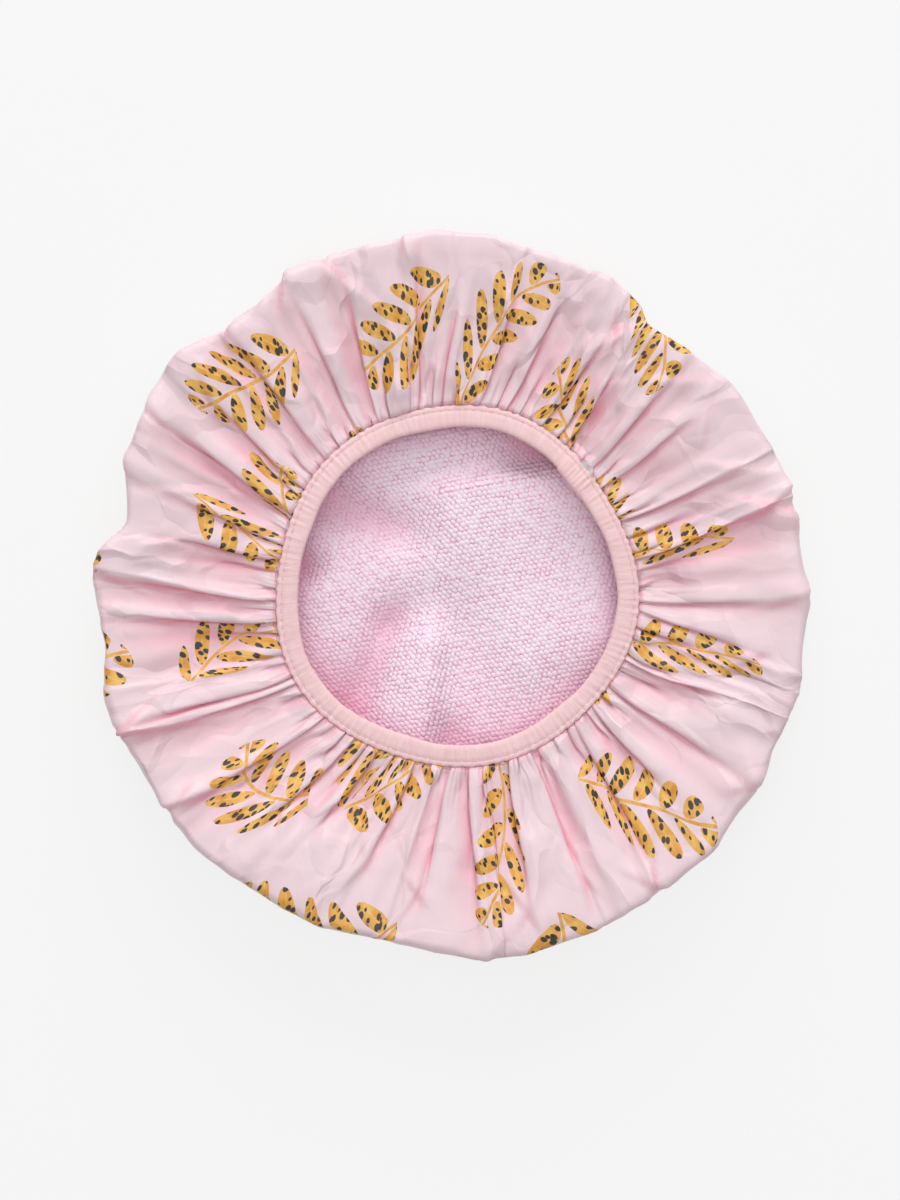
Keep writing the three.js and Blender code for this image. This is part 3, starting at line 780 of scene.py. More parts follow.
def fine_facets(desk, cloth, width, slope):
    """Height in millimetres of flat facets: one set of cells sinks and another stands out."""
    squares = []
    for shift in (0.0, FINE_FACET_SHIFT):
        moved = desk.vector("ADD", cloth, (shift, 2 * shift, 0.0))
        reach = desk.cells(moved, 1 / width, 1.0)["Distance"]
        squares.append(desk.math("MULTIPLY", reach, reach))
    return desk.math("MULTIPLY", desk.math("SUBTRACT", *squares), 0.5 * slope * width)


def shell_cloth():
    """Smooth coated cloth with printed sprigs, the small creases of a folded sheet, and painted shade, a
    deeper pink, in its valleys.
    """
    material, desk, shader = start_material("printed_shell_cloth", roughness=0.45)
    flat = flat_millimetres(desk, 2 * CUT_RADIUS)
    leaves = desk.add("ShaderNodeGroup", node_tree=sprig_print())
    desk.put(leaves.inputs[0], flat)
    mottle = desk.noise(flat, scale=0.035, detail=3.0)
    ground = desk.mix(mottle, linear(SHELL_PINK_DEEP), linear(SHELL_PINK))
    amber = desk.mix(leaves.outputs["Tone"], linear(LEAF_AMBER), linear(LEAF_OCHRE))
    inked = desk.mix(leaves.outputs["Fleck"], amber, linear(FLECK_DARK))

    x, y, _ = desk.split(desk.vector("SUBTRACT", flat, (CUT_RADIUS, CUT_RADIUS, 0.0)))
    out = desk.math("SQRT", desk.math("ADD", desk.math("MULTIPLY", x, x), desk.math("MULTIPLY", y, y)))
    joined = desk.add("ShaderNodeCombineXYZ")
    desk.put(joined.inputs["X"], desk.math("MULTIPLY", desk.math("ARCTAN2", y, x), FACET_FIELD[0] / TURN))
    desk.put(joined.inputs["Y"], desk.math("DIVIDE", out, FACET_STRETCH))
    cloth = joined.outputs[0]
    sway = desk.fill(desk.add("ShaderNodeTexNoise"), Vector=flat, Scale=0.045, Detail=1.0).outputs["Color"]
    swayed = desk.vector("MULTIPLY_ADD", sway, (FACET_SWAY, FACET_SWAY, 0.0), cloth)
    large, small = [fine_facets(desk, swayed, width, slope) for width, slope in FINE_FACETS]
    most = desk.ramp(desk.noise(flat, scale=0.013, detail=0.0), 0.3, 0.6, 0.35, 1.0)
    some = desk.clamped(desk.ramp(desk.noise(flat, scale=0.02, detail=1.0), 0.42, 0.62, 0.0, 1.0))
    facets = desk.math("ADD", desk.math("MULTIPLY", large, most), desk.math("MULTIPLY", small, some))

    drawn = desk.vector("MULTIPLY", cloth, (1 / GATHER_SPACING, GATHER_STREAK, 0.0))
    streak = desk.noise(drawn, scale=1.0, detail=1.0)
    seam = CUT_RADIUS - SEAM_ALLOWANCE
    near_binding = desk.ramp(out, seam - GATHER_REACH, seam, 0.0, 1.0)
    tall = desk.math("MULTIPLY", desk.math("MULTIPLY", near_binding, near_binding), GATHER_HEIGHT)
    relief = desk.math("ADD", facets, desk.math("MULTIPLY", streak, tall))

    # painted shade: a deeper pink where the cloth lies low in folds and creases, beside the binding and
    # between the fine gathers
    folds = desk.add("ShaderNodeAttribute", attribute_name="painted_shade").outputs["Fac"]
    between = desk.math("MULTIPLY", desk.math("SUBTRACT", 0.5, streak), tall)
    painted_shade = desk.math("MULTIPLY_ADD", between, GATHER_PAINTED_SHADE, folds)
    painted_shade_share = desk.ramp(painted_shade, *VALLEY_DEPTHS, 0.0, VALLEY_PAINTED_SHADE)
    ground = desk.mix(painted_shade_share, ground, linear(SHELL_PINK_PAINTED_SHADE))
    desk.put(shader.inputs["Base Color"], desk.mix(leaves.outputs["Leaf"], ground, inked))

    weave = desk.noise(flat, scale=2.2, detail=1.0)
    creased = desk.bump(relief, distance=MM, strength=1.0)
    desk.put(shader.inputs["Normal"], desk.bump(weave, distance=0.00005, strength=0.4, before=creased))
    return material


def towelling():
    """Looped yarn, lilac pink on the high parts of the towelling, with painted shade, a deeper pink, in its
    hollows and under the binding.
    """
    material, desk, shader = start_material(
        "towelling_loops", roughness=0.95, Sheen_Weight=0.3, Sheen_Roughness=0.5)
    place = desk.add("ShaderNodeTexCoord").outputs["Object"]
    patch = desk.noise(place, scale=35.0, detail=3.0)
    yarn = desk.noise(place, scale=900.0, detail=2.0)
    ground = desk.mix(patch, linear(TERRY_PINK), linear(TERRY_LILAC))
    ground = desk.mix(desk.math("MULTIPLY", yarn, 0.35), ground, linear(TERRY_PALE))
    # painted shade in the hollows and under the binding
    painted_shade = desk.add("ShaderNodeAttribute", attribute_name="painted_shade").outputs["Fac"]
    desk.put(shader.inputs["Base Color"], desk.mix(painted_shade, ground, linear(TERRY_PAINTED_SHADE)))
    fibres = desk.noise(place, scale=2200.0, detail=2.0)
    desk.put(shader.inputs["Normal"], desk.bump(fibres, distance=0.0002, strength=0.5))
    return material


def towelling_ground():
    """The woven ground under the loops, with low loops of its own where the lining turns out of sight, and
    painted shade, a deeper pink, between them.
    """
    material, desk, shader = start_material(
        "towelling_ground", roughness=0.95, Sheen_Weight=0.3, Sheen_Roughness=0.5)
    flat = flat_millimetres(desk, 2 * LINING_CUT_RADIUS)
    brick = desk.cells(flat, 1 / LOOP_PITCH, 0.35)
    # painted shade: deeper pink between the low loops
    nub = desk.ramp(brick["Distance"], 0.0, 0.65, 1.0, 0.0)
    desk.put(shader.inputs["Base Color"], desk.mix(nub, linear(TERRY_GROUND_PAINTED_SHADE), linear(TERRY_PINK)))
    desk.put(shader.inputs["Normal"], desk.bump(nub, distance=0.0008, strength=0.8))
    return material


def tape_cloth():
    """Woven tape with crosswise ribs and the fine gathers that the elastic draws into it; painted shade makes
    it darker where weave and gathers lie low, with random patches of tone.
    """
    material, desk, shader = start_material(
        "binding_tape_cloth", roughness=0.75, Sheen_Weight=0.25, Sheen_Roughness=0.5)
    flat = flat_millimetres(desk, TAPE_MAP)
    along, across, _ = desk.split(flat)
    rib = desk.math("SINE", desk.math("MULTIPLY", along, TURN / RIB_PITCH))
    thread = desk.math("SINE", desk.math("MULTIPLY", across, TURN / (0.8 * RIB_PITCH)))
    weave = desk.math("MULTIPLY", rib, thread)
    drawn = desk.vector("MULTIPLY", flat, (1 / TAPE_GATHER_SPACING, 1 / TAPE_GATHER_RUN, 0.0))
    gather = desk.ramp(desk.noise(drawn, scale=1.0, detail=1.0), 0.3, 0.7, 0.0, 1.0)
    patch = desk.noise(flat, scale=0.25, detail=3.0)
    # painted shade: paler where gathers and weave stand high, darker where they lie low, with random patches
    shade = desk.math("MULTIPLY_ADD", gather, 0.4, desk.math("MULTIPLY", patch, 0.6))
    shade = desk.math("MULTIPLY_ADD", weave, 0.2, shade)
    desk.put(shader.inputs["Base Color"], desk.mix(desk.clamped(shade), linear(TAPE_DEEP), linear(TAPE_PALE)))
    height = desk.math("MULTIPLY_ADD", weave, 0.35, desk.math("MULTIPLY", rib, 0.3))
    height = desk.math("MULTIPLY_ADD", gather, 1.3, height)
    desk.put(shader.inputs["Normal"], desk.bump(height, distance=0.00014, strength=0.7))
    return material


def thread_yarn(name, deep, pale):
    """Spun thread with a twist, with painted shade in the grooves of its twist."""
    material, desk, shader = start_material(
        name, roughness=0.7, Sheen_Weight=0.2, Sheen_Roughness=0.4)
    place = desk.add("ShaderNodeTexCoord").outputs["Object"]
    x, y, z = desk.split(place)
    slanted = desk.math("ADD", desk.math("ADD", x, y), z)
    lay = desk.math("SINE", desk.math("MULTIPLY", slanted, TURN / THREAD_TWIST))
    fuzz = desk.noise(place, scale=1500.0, detail=2.0)
    # painted shade in the twist's grooves, with random fuzz
    shade = desk.clamped(desk.math("MULTIPLY_ADD", lay, 0.3, fuzz))
    desk.put(shader.inputs["Base Color"], desk.mix(shade, linear(deep), linear(pale)))
    desk.put(shader.inputs["Normal"], desk.bump(shade, distance=0.00006, strength=0.6))
    return material


def white_elastic():
    """Woven elastic with ribs across its width, with painted shade between the ribs."""
    material, desk, shader = start_material(
        "white_ribbed_elastic", roughness=0.8, Sheen_Weight=0.2, Sheen_Roughness=0.4)
    place = desk.add("ShaderNodeTexCoord").outputs["Object"]
    x, y, _ = desk.split(place)
    rib = desk.math("SINE", desk.math("MULTIPLY", desk.math("ARCTAN2", y, x), ELASTIC_RIBS))
    # painted shade between the ribs, with random tone
    shade = desk.clamped(desk.math("MULTIPLY_ADD", rib, 0.35, desk.noise(place, scale=400.0, detail=2.0)))
    desk.put(shader.inputs["Base Color"], desk.mix(shade, linear(ELASTIC_GREY), linear(ELASTIC_WHITE)))
    desk.put(shader.inputs["Normal"], desk.bump(rib, distance=0.0001, strength=0.6))
    return material


def sheet_normals(place):
    """Direction that each point of a round sheet faces: up on its top and down under its crown."""
    along = np.gradient(place, axis=0)
    round_way = np.roll(place, -1, 1) - np.roll(place, 1, 1)
    facing = np.cross(along, round_way)
    return facing / (np.linalg.norm(facing, axis=-1, keepdims=True) + 1e-9)


def strip_faces(first, first_count, second, second_count):
    """Faces between two closed rows of points, where the second may have half as many."""
    faces = []
    if first_count == second_count:
        for k in range(first_count):
            n = (k + 1) % first_count
            faces.append((first + k, second + k, second + n, first + n))
        return faces
    for k in range(second_count):
        n = (k + 1) % second_count
        left, middle, right = first + 2 * k, first + 2 * k + 1, first + (2 * k + 2) % first_count
        faces.append((left, second + k, middle))
        faces.append((middle, second + k, second + n))
        faces.append((middle, second + n, right))
    return faces


def lay_flat(piece, flat):
    """Gives a sheet its flat cut as a UV map, and smooth shading."""
    layer = piece.data.uv_layers.new(name="cut")
    corner = np.zeros(len(piece.data.loops), np.int32)
    piece.data.loops.foreach_get("vertex_index", corner)
    layer.data.foreach_set("uv", np.array(flat, np.float32)[corner].ravel())
    piece.data.polygons.foreach_set("use_smooth", [True] * len(piece.data.polygons))


def round_sheet(name, place, rows, turned, counts, thickness, cut_radius, painted_shade=None):
    """Closed sheet of even thickness over a round middle surface, with the flat cut as its UV map."""
    facing = sheet_normals(place)
    pole_side = np.sign(facing[-1, :, 2].mean())
    columns = place.shape[1]
    points, flat, faces, sunk = [], [], [], []
    for side in (1, -1):
        starts = []
        for row, count in enumerate(counts):
            pick = np.arange(count) * (columns // count)
            starts.append(len(points))
            points.extend(place[row, pick] + side * 0.5 * thickness[row] * facing[row, pick])
            if painted_shade is not None:
                sunk.extend(painted_shade[row, pick])
            reach = 0.5 * (cut_radius - rows[row]) / cut_radius
            flat.extend(0.5 + reach * np.stack([np.cos(turned[pick]), np.sin(turned[pick])], -1))
        pole = len(points)
        points.append(np.array([0, 0, place[-1, :, 2].mean() + side * pole_side * 0.5 * thickness[-1]]))
        flat.append(np.array([0.5, 0.5]))
        sunk.append(0.0)
        layer = []
        for row in range(len(counts) - 1):
            layer += strip_faces(starts[row], counts[row], starts[row + 1], counts[row + 1])
        for k in range(counts[-1]):
            layer.append((starts[-1] + k, pole, starts[-1] + (k + 1) % counts[-1]))
        faces += layer if side > 0 else [face[::-1] for face in layer]
    inner = len(points) // 2
    for k in range(counts[0]):
        n = (k + 1) % counts[0]
        faces.append((k, n, inner + n, inner + k))
    piece = mesh_object(name, points, faces)
    lay_flat(piece, flat)
    if painted_shade is not None:
        layer = piece.data.attributes.new("painted_shade", "FLOAT", "POINT")
        layer.data.foreach_set("value", np.array(sunk, np.float32))
    return piece


def make_shell():
    """The printed cloth, gathered in to the binding."""
    rows = shell_rows()
    place, turned, painted_shade = gathered_shell(rows)
    counts = [SHELL_COLUMNS] * SHELL_FULL_ROWS + [SHELL_COLUMNS // 2] * SHELL_HALF_ROWS
    counts += [SHELL_COLUMNS // 4] * (len(rows) - len(counts))
    thickness = np.full(len(rows), SHELL_THICKNESS)
    shell = round_sheet("gathered_shell", place, rows, turned, counts, thickness, CUT_RADIUS, painted_shade)
    shell.data.materials.append(shell_cloth())
    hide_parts("outer_shell")
    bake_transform(shell)


def lining_floor(x, y):
    """Height of the towelling on the crown, with its soft folds."""
    (broad, broad_x, broad_y), (narrow, narrow_x, narrow_y) = LINING_SWELLS
    height = LINING_FLOOR + broad * np.sin(x / broad_x + 1) * np.cos(y / broad_y)
    height = height + narrow * np.sin(y / narrow_y + x / narrow_x)
    for start, end, tall, left, right in LINING_FOLDS:
        way = np.subtract(end, start)
        length = np.hypot(*way)
        ahead = ((x - start[0]) * way[0] + (y - start[1]) * way[1]) / length
        aside = ((y - start[1]) * way[0] - (x - start[0]) * way[1]) / length
        past = np.maximum(np.maximum(-ahead, ahead - length), 0)
        slope = np.where(aside > 0, left, right)
        height = height + tall * np.exp(-(aside / slope) ** 2 - (past / LINING_FOLD_END) ** 2)
    for at_x, at_y, deep, spread in LINING_HOLLOWS:
        height = height - deep * np.exp(-((x - at_x) ** 2 + (y - at_y) ** 2) / spread ** 2)
    return height


def painted_lining_shade(x, y):
    """Painted shade of the towelling: 0 on its high parts, towards 1 in its hollows and under the binding."""
    high, low = HOLLOW_LEVELS
    sunk = smooth_step(LINING_FLOOR + high, LINING_FLOOR + low, lining_floor(x, y))
    under_binding = smooth_step(*BINDING_PAINTED_SHADE_BAND, np.hypot(x, y))
    return np.clip(HOLLOW_PAINTED_SHADE * sunk + BINDING_PAINTED_SHADE * under_binding, 0, 1)


def lining_section(angles, distances):
    """Section of the lining at each angle: radius and height at distances along the cloth."""
    mouth, fold = mouth_radius(angles), fold_radius(angles)
    level = mouth_height(angles)
    reach = fold - mouth
    ground = np.zeros_like(angles)
    corners = (
        # Out of the binding and under the shell's top
        (mouth - SEAM_ALLOWANCE, level + LINING_LEVEL),
        (mouth + 0.5, level + LINING_LEVEL),
        (mouth + 5, level - 5),
        (mouth + 0.22 * reach, level - 11),
        (mouth + 0.6 * reach, level - 11.5),
        (fold - 14, level - 11),
        # Down inside the shell's side
        (fold - 6, ground + 16),
        (fold - 5, ground + 13),
        (fold - 7, ground + 8.5),
        (fold - 14, ground + 3.4),
        # In along the crown
        (fold - 30, ground + LINING_FLOOR - 1),
        (0 * fold, ground + LINING_FLOOR - 1),
    )
    return along_section(corners, distances, LINING_CUT_RADIUS, LINING_EASING)


def make_lining():
    """The towelling: puckered under the shell, and lying in soft folds on the crown."""
    rows = np.concatenate([np.arange(*run) for run in LINING_RUNS])
    around = np.arange(LINING_COLUMNS) * TURN / LINING_COLUMNS
    section = lining_section(around, rows)
    radius, height = section[..., 0], section[..., 1]
    wave = np.cos(LINING_PUCKERS * around + ripple(LINING_PUCKER_WAVES, around))
    height = height - by_distance(LINING_PUCKER_DEPTH, rows)[:, None] * (0.5 - 0.5 * wave)
    x, y = radius * np.cos(around), radius * np.sin(around)
    lying = smooth_step(*LINING_LIES, rows)[:, None]
    height = (1 - lying) * height + lying * lining_floor(x, y)
    place = np.stack([x, y, height], -1)
    coarse = (rows > LINING_COARSE).sum()
    counts = [LINING_COLUMNS] * (len(rows) - coarse) + [LINING_COLUMNS // 2] * coarse
    thickness = np.interp(rows, LINING_SEAM_WIDTH, (LINING_SEAM_THICKNESS, LINING_THICKNESS))
    lining = round_sheet("towelling_lining", place, rows, around, counts, thickness, LINING_CUT_RADIUS)
    lining.data.materials.append(towelling_ground())
    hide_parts("terry_lining")
    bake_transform(lining)
    loops = make_loops()
    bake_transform(loops)


def points_object(name, points, facing, ahead, painted_shade=None):
    """Bare points for instances to stand on, each with the way it faces and the way it runs."""
    piece = mesh_object(name, points, [])
    for attribute, values in (("facing", facing), ("ahead", ahead)):
        layer = piece.data.attributes.new(attribute, "FLOAT_VECTOR", "POINT")
        layer.data.foreach_set("vector", np.asarray(values, np.float32).ravel())
    if painted_shade is not None:
        layer = piece.data.attributes.new("painted_shade", "FLOAT", "POINT")
        layer.data.foreach_set("value", np.asarray(painted_shade, np.float32))
    return piece


def bead_tree(name):
    """Geometry nodes: one small rounded bead on every point, turned to its facing and ahead directions."""
    tree = bpy.data.node_groups.new(name, "GeometryNodeTree")
    inputs = (("Points", "Geometry"), ("Half Size", "Vector"), ("Unevenness", "Float"), ("Seed", "Int"),
              ("Yarn", "Material"))
    for socket, kind in inputs:
        tree.interface.new_socket(socket, in_out="INPUT", socket_type="NodeSocket" + kind)
    tree.interface.new_socket("Beads", in_out="OUTPUT", socket_type="NodeSocketGeometry")
    desk = NodeDesk(tree)
    given = desk.add("NodeGroupInput").outputs
    ways = []
    for attribute in ("facing", "ahead"):
        way = desk.add("GeometryNodeInputNamedAttribute", data_type="FLOAT_VECTOR")
        way.inputs["Name"].default_value = attribute
        ways.append(way.outputs["Attribute"])
    turn = desk.add("FunctionNodeAxesToRotation", primary_axis="Z", secondary_axis="X")
    desk.put(turn.inputs["Primary Axis"], ways[0])
    desk.put(turn.inputs["Secondary Axis"], ways[1])
    spread = desk.add("FunctionNodeRandomValue", data_type="FLOAT")
    desk.put(spread.inputs[2], desk.math("SUBTRACT", 1.0, given["Unevenness"]))
    desk.put(spread.inputs[3], desk.math("ADD", 1.0, given["Unevenness"]))
    desk.put(spread.inputs["Seed"], given["Seed"])
    size = desk.add("ShaderNodeVectorMath", operation="SCALE")
    desk.put(size.inputs[0], given["Half Size"])
    desk.put(size.inputs["Scale"], spread.outputs[1])
    bead = desk.add("GeometryNodeMeshIcoSphere")
    bead.inputs["Radius"].default_value = 1.0
    bead.inputs["Subdivisions"].default_value = 1
    smooth = desk.add("GeometryNodeSetShadeSmooth")
    desk.put(smooth.inputs["Geometry"], bead.outputs["Mesh"])
    stand = desk.add("GeometryNodeInstanceOnPoints")
    desk.put(stand.inputs["Points"], given["Points"])
    desk.put(stand.inputs["Instance"], smooth.outputs[0])
    desk.put(stand.inputs["Rotation"], turn.outputs[0])
    desk.put(stand.inputs["Scale"], size.outputs[0])
    real = desk.add("GeometryNodeRealizeInstances")
    desk.put(real.inputs[0], stand.outputs[0])
    finish = desk.add("GeometryNodeSetMaterial")
    desk.put(finish.inputs["Geometry"], real.outputs[0])
    desk.put(finish.inputs["Material"], given["Yarn"])
    desk.put(desk.add("NodeGroupOutput").inputs[0], finish.outputs[0])
    return tree


def grow_beads(piece, half_size, unevenness, seed, yarn, softness=0.0):
    """Runs the bead tree on a piece's points and keeps the result as its mesh.

    Softness turns the beads' shading towards the way that their points face.
    """
    grower = piece.modifiers.new("beads", "NODES")
    grower.node_group = bead_tree(piece.name + "_beads")
    half_metres = tuple(MM * part for part in half_size)
    values = {"Half Size": half_metres, "Unevenness": unevenness, "Seed": seed, "Yarn": yarn}
    for item in grower.node_group.interface.items_tree:
        if item.name in values:
            grower[item.identifier] = values[item.name]
    view = bpy.context.evaluated_depsgraph_get()
    grown = piece.evaluated_get(view)
    mesh = bpy.data.meshes.new_from_object(grown, preserve_all_data_layers=True, depsgraph=view)
    piece.modifiers.clear()
    piece.data = mesh
    if softness > 0:
        own = np.zeros(3 * len(mesh.vertices), np.float32)
        facing = np.zeros_like(own)
        mesh.vertices.foreach_get("normal", own)
        mesh.attributes["facing"].data.foreach_get("vector", facing)
        soft = ((1 - softness) * own + softness * facing).reshape(-1, 3)
        soft = soft / np.linalg.norm(soft, axis=1, keepdims=True)
        mesh.normals_split_custom_set_from_vertices(soft.tolist())
    for attribute in ("facing", "ahead"):
        if attribute in mesh.attributes:
            mesh.attributes.remove(mesh.attributes[attribute])


def make_loops():
    """Loops of the towelling in brick-laid ribs, where the mouth shows them."""
    count = int(LOOP_FIELD / min(RIB_SPACING, LOOP_PITCH)) + 2
    steps = np.arange(-count, count + 1)
    rib, step = np.meshgrid(steps, steps, indexing="ij")
    along = (step + 0.5 * (rib % 2)) * LOOP_PITCH
    rng = np.random.default_rng(FOLD_SEED + 6)
    along = along + rng.uniform(-LOOP_SCATTER[0], LOOP_SCATTER[0], along.shape)
    aside = rib * RIB_SPACING + RIB_SWAY * np.sin(along / RIB_SWAY_RUN[0] + rib / RIB_SWAY_RUN[1])
    aside = aside + rng.uniform(-LOOP_SCATTER[1], LOOP_SCATTER[1], along.shape)
    x = along * math.cos(RIB_ANGLE) - aside * math.sin(RIB_ANGLE)
    y = along * math.sin(RIB_ANGLE) + aside * math.cos(RIB_ANGLE)
    inside = np.hypot(x, y) < LOOP_FIELD
    x, y = x[inside], y[inside]
    z = lining_floor(x, y)
    slope_x = lining_floor(x + 0.5, y) - lining_floor(x - 0.5, y)
    slope_y = lining_floor(x, y + 0.5) - lining_floor(x, y - 0.5)
    facing = np.stack([-slope_x, -slope_y, np.ones_like(x)], -1)
    facing /= np.linalg.norm(facing, axis=-1, keepdims=True)
    turned = RIB_ANGLE + rng.uniform(-LOOP_TURN, LOOP_TURN, len(x))
    ahead = np.stack([np.cos(turned), np.sin(turned), np.zeros(len(x))], -1)
    points = np.stack([x, y, z], -1) + (0.5 * LINING_THICKNESS + LOOP_LIFT) * facing
    # each loop keeps its share of painted shade
    loops = points_object("towelling_loops", points, facing, ahead, painted_lining_shade(x, y))
    grow_beads(loops, LOOP_SIZE, LOOP_UNEVENNESS, LOOP_SEED, towelling(), LOOP_SOFTNESS)
    return loops


def tape_lift(turned):
    """How far the binding stands off its seam: it rises over its own start at the lap."""
    lap = TAPE_LAP / MOUTH_RADIUS
    return (TAPE_THICKNESS + LAP_GAP) * smooth_step(TURN - LAP_RISE * lap, TURN, turned)


def pucker(turned, inset):
    """Small crosswise ridges where the elastic draws the tape together, deeper near its lap.

    The run of each wave is itself uneven, so that the ridges vary.
    """
    run = turned * MOUTH_RADIUS
    share = inset / TAPE_WIDTH
    fine = np.sin(run * 2.1 + 1.3 * np.sin(run / 7.0))
    broad = np.sin(run * 1.27 + 2.0 + 0.6 * np.sin(run / 11.0))
    patch = 0.5 + 0.5 * np.sin(run / 19.0 + 0.7)
    height = PUCKER_HEIGHT[0] + PUCKER_HEIGHT[1] * patch
    even = height * (fine + 0.7 * broad) * (0.55 + 0.45 * np.cos(share * math.pi))
    from_lap = ((turned + 0.5 * TURN) % TURN - 0.5 * TURN) * MOUTH_RADIUS
    near_lap = np.exp(-(from_lap / WRINKLE_REACH) ** 2)
    wrinkle = np.sin(run * 2.6 + 0.3 * inset + 0.9 * np.sin(run / 1.9))
    wrinkle = wrinkle * (0.6 + 0.4 * np.sin(run * 0.8 + 1))
    return even + WRINKLE_HEIGHT * near_lap * wrinkle * np.sin(np.clip(share, 0, 1) * math.pi)


def tape_point(turned, inset, height):
    """Point of the binding, turned round the mouth from its start."""
    angle = TAPE_START + turned
    lobes, uneven_lobes = TAPE_EDGE_LOBES
    edge_wave = TAPE_EDGE_WAVE * np.sin(turned * lobes + 2 * np.sin(turned * uneven_lobes))
    outer = mouth_radius(angle) + edge_wave * np.exp(-inset / TAPE_EDGE_DEPTH)
    wander = 0.5 + ripple(TAPE_WANDER_WAVES, turned)
    radius = outer - inset - TAPE_WANDER * wander * smooth_step(TAPE_WANDER_START, TAPE_WIDTH, inset)
    level = mouth_height(angle) + height
    return np.stack([radius * np.cos(angle), radius * np.sin(angle), level], -1)


def make_tape():
    """Tape folded over the seam and the elastic, its end lapped over its start."""
    face = np.array(TAPE_FACE)
    outside = np.concatenate([face, (face * (1, -1))[-2::-1]])
    way = np.gradient(outside, axis=0)
    out = np.stack([-way[:, 1], way[:, 0]], -1)
    out /= np.linalg.norm(out, axis=1, keepdims=True)
    inside = outside - TAPE_THICKNESS * out
    section = np.concatenate([outside, inside[::-1]])
    facing = np.concatenate([out, out[::-1]])
    turned = np.linspace(0, TURN + TAPE_LAP / MOUTH_RADIUS, TAPE_COLUMNS)
    run = np.concatenate([[0], np.cumsum(np.linalg.norm(np.diff(outside, axis=0), axis=1))])
    run = np.concatenate([run, run[::-1]])
    points, flat = [], []
    for (inset, height), (out_across, out_up), along in zip(section, facing, run):
        swell = tape_lift(turned) + pucker(turned, inset)
        points.append(tape_point(turned, inset + out_across * swell, height + out_up * swell))
        round_mouth = turned * MOUTH_RADIUS / TAPE_MAP
        flat.append(np.stack([round_mouth, np.full_like(turned, along / TAPE_MAP)], -1))
    points, flat = np.array(points), np.array(flat)
    count, columns = points.shape[:2]
    faces = []
    for k in range(count):
        first, second = k * columns, ((k + 1) % count) * columns
        for c in range(columns - 1):
            faces.append((first + c, second + c, second + c + 1, first + c + 1))
    half = count // 2
    for k in range(half - 1):
        quad = (k, k + 1, count - 2 - k, count - 1 - k)
        faces.append(tuple(v * columns for v in quad[::-1]))
        faces.append(tuple(v * columns + columns - 1 for v in quad))
    tape = mesh_object("binding", points.reshape(-1, 3), faces)
    lay_flat(tape, flat.reshape(-1, 2))
    tape.data.materials.append(tape_cloth())
    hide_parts("binding_tape")
    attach(tape, "mouth")


def make_elastic_edge():
    """Sliver of the white elastic that shows beside the lap of the binding."""
    stations = ELASTIC_STATIONS
    out, thick = ELASTIC_EDGE
    tucked, free = ELASTIC_LEVELS
    share = np.linspace(0, 1, stations)
    turned = np.radians(ELASTIC_SHOWS[0] + share * (ELASTIC_SHOWS[1] - ELASTIC_SHOWS[0])) - TAPE_START
    reach = out * np.sqrt(np.maximum(1 - (2 * share - 1) ** 2, 0.02))
    under = np.full(stations, ELASTIC_TUCK)
    corners = ((under, tucked), (-reach, free), (-reach, free + thick), (under, tucked + thick))
    points = np.stack([tape_point(turned, inset, height) for inset, height in corners], 1).reshape(-1, 3)
    faces = [(0, 1, 2, 3), tuple(4 * (stations - 1) + k for k in (3, 2, 1, 0))]
    for station in range(stations - 1):
        for k in range(4):
            n = (k + 1) % 4
            first, second = 4 * station, 4 * (station + 1)
            faces.append((first + n, first + k, second + k, second + n))
    edge = mesh_object("elastic_edge", points, faces)
    edge.data.materials.append(white_elastic())
    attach(edge, "mouth")


def make_topstitch():
    """Stitches that close the binding, on its top and under it."""
    count = int(TURN * (MOUTH_RADIUS - STITCH_INSET) / STITCH_PITCH)
    turned = (np.arange(count) + 0.5) * TURN / count
    angle = TAPE_START + turned
    ahead = np.stack([-np.sin(angle), np.cos(angle), np.zeros(count)], -1)
    height = by_distance(TAPE_FACE, STITCH_INSET) + STITCH_LIFT
    up = np.tile((0.0, 0.0, 1.0), (count, 1))
    lift = tape_lift(turned) + pucker(turned, STITCH_INSET)
    above = tape_point(turned, STITCH_INSET, height + lift)
    below = tape_point(turned + 0.5 * TURN / count, STITCH_INSET, -height - lift)
    stitches = points_object("topstitching", np.concatenate([above, below]), np.concatenate([up, -up]),
                             np.concatenate([ahead, ahead]))
    thread = thread_yarn("pink_stitching", THREAD_PINK_DEEP, THREAD_PINK)
    grow_beads(stitches, STITCH_SIZE, STITCH_UNEVENNESS, STITCH_SEED, thread)
    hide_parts("topstitch_needle_thread", "topstitch_bobbin_thread")
    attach(stitches, "mouth")


def dress_hidden_pieces():
    """Finishes for the CAD pieces inside the seam."""
    grey = thread_yarn("grey_thread", THREAD_GREY_DEEP, THREAD_GREY)
    elastic = bpy.data.materials["white_ribbed_elastic"]
    finishes = {"elastic_band": elastic, "elastic_join_tack": grey, "overlock_upper_looper": grey,
                "overlock_lower_looper": grey, "overlock_needle_thread": grey}
    for name, finish in finishes.items():
        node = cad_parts[name]
        node.data.materials.clear()
        node.data.materials.append(finish)


def seen_by_eye(desk):
    """1 where the backdrop is seen or mirrored, and 0 where it lights the cap."""
    ray = desk.add("ShaderNodeLightPath").outputs
    mirrored = desk.math("MAXIMUM", ray["Is Glossy Ray"], ray["Is Transmission Ray"])
    return desk.math("MAXIMUM", ray["Is Camera Ray"], mirrored)


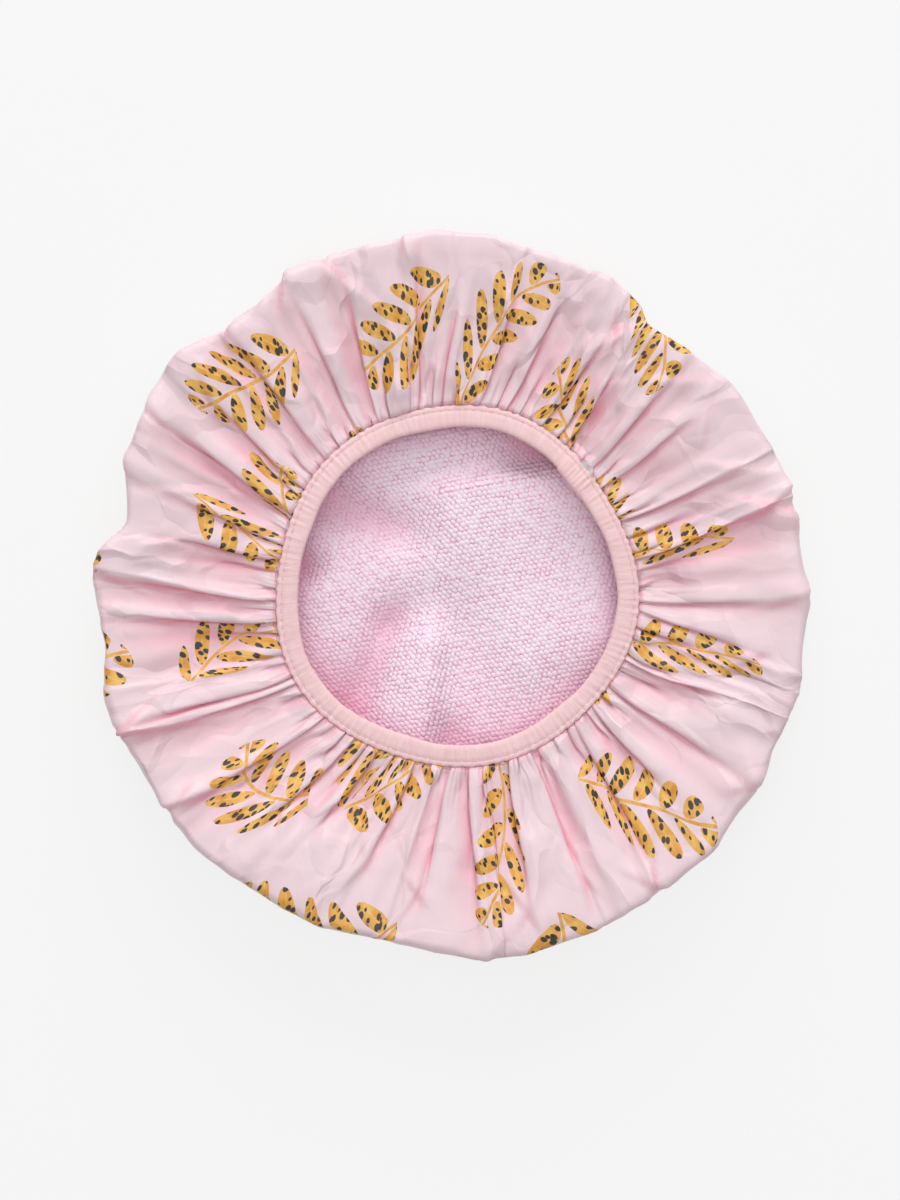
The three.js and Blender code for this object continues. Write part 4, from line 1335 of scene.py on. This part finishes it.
def make_stage():
    """White floor, even white room and two soft lamps."""
    bpy.ops.mesh.primitive_plane_add(size=FLOOR_SIZE, location=(0, 0, -FLOOR_DROP))
    floor = bpy.context.object
    floor.name = "floor"
    paper, desk, shader = start_material("floor_paper", roughness=0.9)
    grain = desk.noise(desk.add("ShaderNodeTexCoord").outputs["Object"], scale=60.0, detail=2.0)
    desk.put(shader.inputs["Base Color"], desk.mix(grain, *FLOOR_PAPER))
    white = desk.add("ShaderNodeEmission")
    white.inputs["Strength"].default_value = FLOOR_WHITE
    both = desk.add("ShaderNodeMixShader")
    desk.put(both.inputs[0], desk.math("MULTIPLY", seen_by_eye(desk), FLOOR_EVENNESS))
    desk.put(both.inputs[1], shader.outputs[0])
    desk.put(both.inputs[2], white.outputs[0])
    desk.put(paper.node_tree.nodes["Material Output"].inputs["Surface"], both.outputs[0])
    floor.data.materials.append(paper)
    world = bpy.context.scene.world or bpy.data.worlds.new("studio")
    bpy.context.scene.world = world
    world.use_nodes = True
    sky = NodeDesk(world.node_tree)
    glow = world.node_tree.nodes["Background"]
    glow.inputs["Color"].default_value = (1, 1, 1, 1)
    sky.put(glow.inputs["Strength"], sky.ramp(seen_by_eye(sky), 0.0, 1.0, ROOM_LIGHT, FLOOR_WHITE))
    for name, place, size, power in LAMPS:
        light = bpy.data.lights.new(name, "AREA")
        light.size = size
        light.energy = power
        lamp = bpy.data.objects.new(name, light)
        lamp.location = place
        lamp.rotation_euler = (-lamp.location).to_track_quat("-Z", "Y").to_euler()
        bpy.context.scene.collection.objects.link(lamp)


def make_camera():
    """Looks straight down, with the middle of the mouth at its place in the image."""
    width, height = IMAGE_SIZE
    camera = bpy.data.cameras.new("camera")
    camera.sensor_fit = "VERTICAL"
    camera.sensor_height = SENSOR_HEIGHT
    camera.lens = SENSOR_HEIGHT * CAMERA_DISTANCE / (height * PIXEL_SIZE)
    view = bpy.data.objects.new("camera", camera)
    across = (width / 2 - MOUTH_PIXEL[0]) * PIXEL_SIZE
    up = (MOUTH_PIXEL[1] - height / 2) * PIXEL_SIZE
    view.location = (across, up, CAMERA_DISTANCE + CAMERA_LEVEL)
    bpy.context.scene.collection.objects.link(view)
    bpy.context.scene.camera = view


bpy.context.scene.view_settings.view_transform = "Standard"
make_camera()
make_stage()
make_shell()
make_lining()
make_tape()
make_elastic_edge()
make_topstitch()
dress_hidden_pieces()
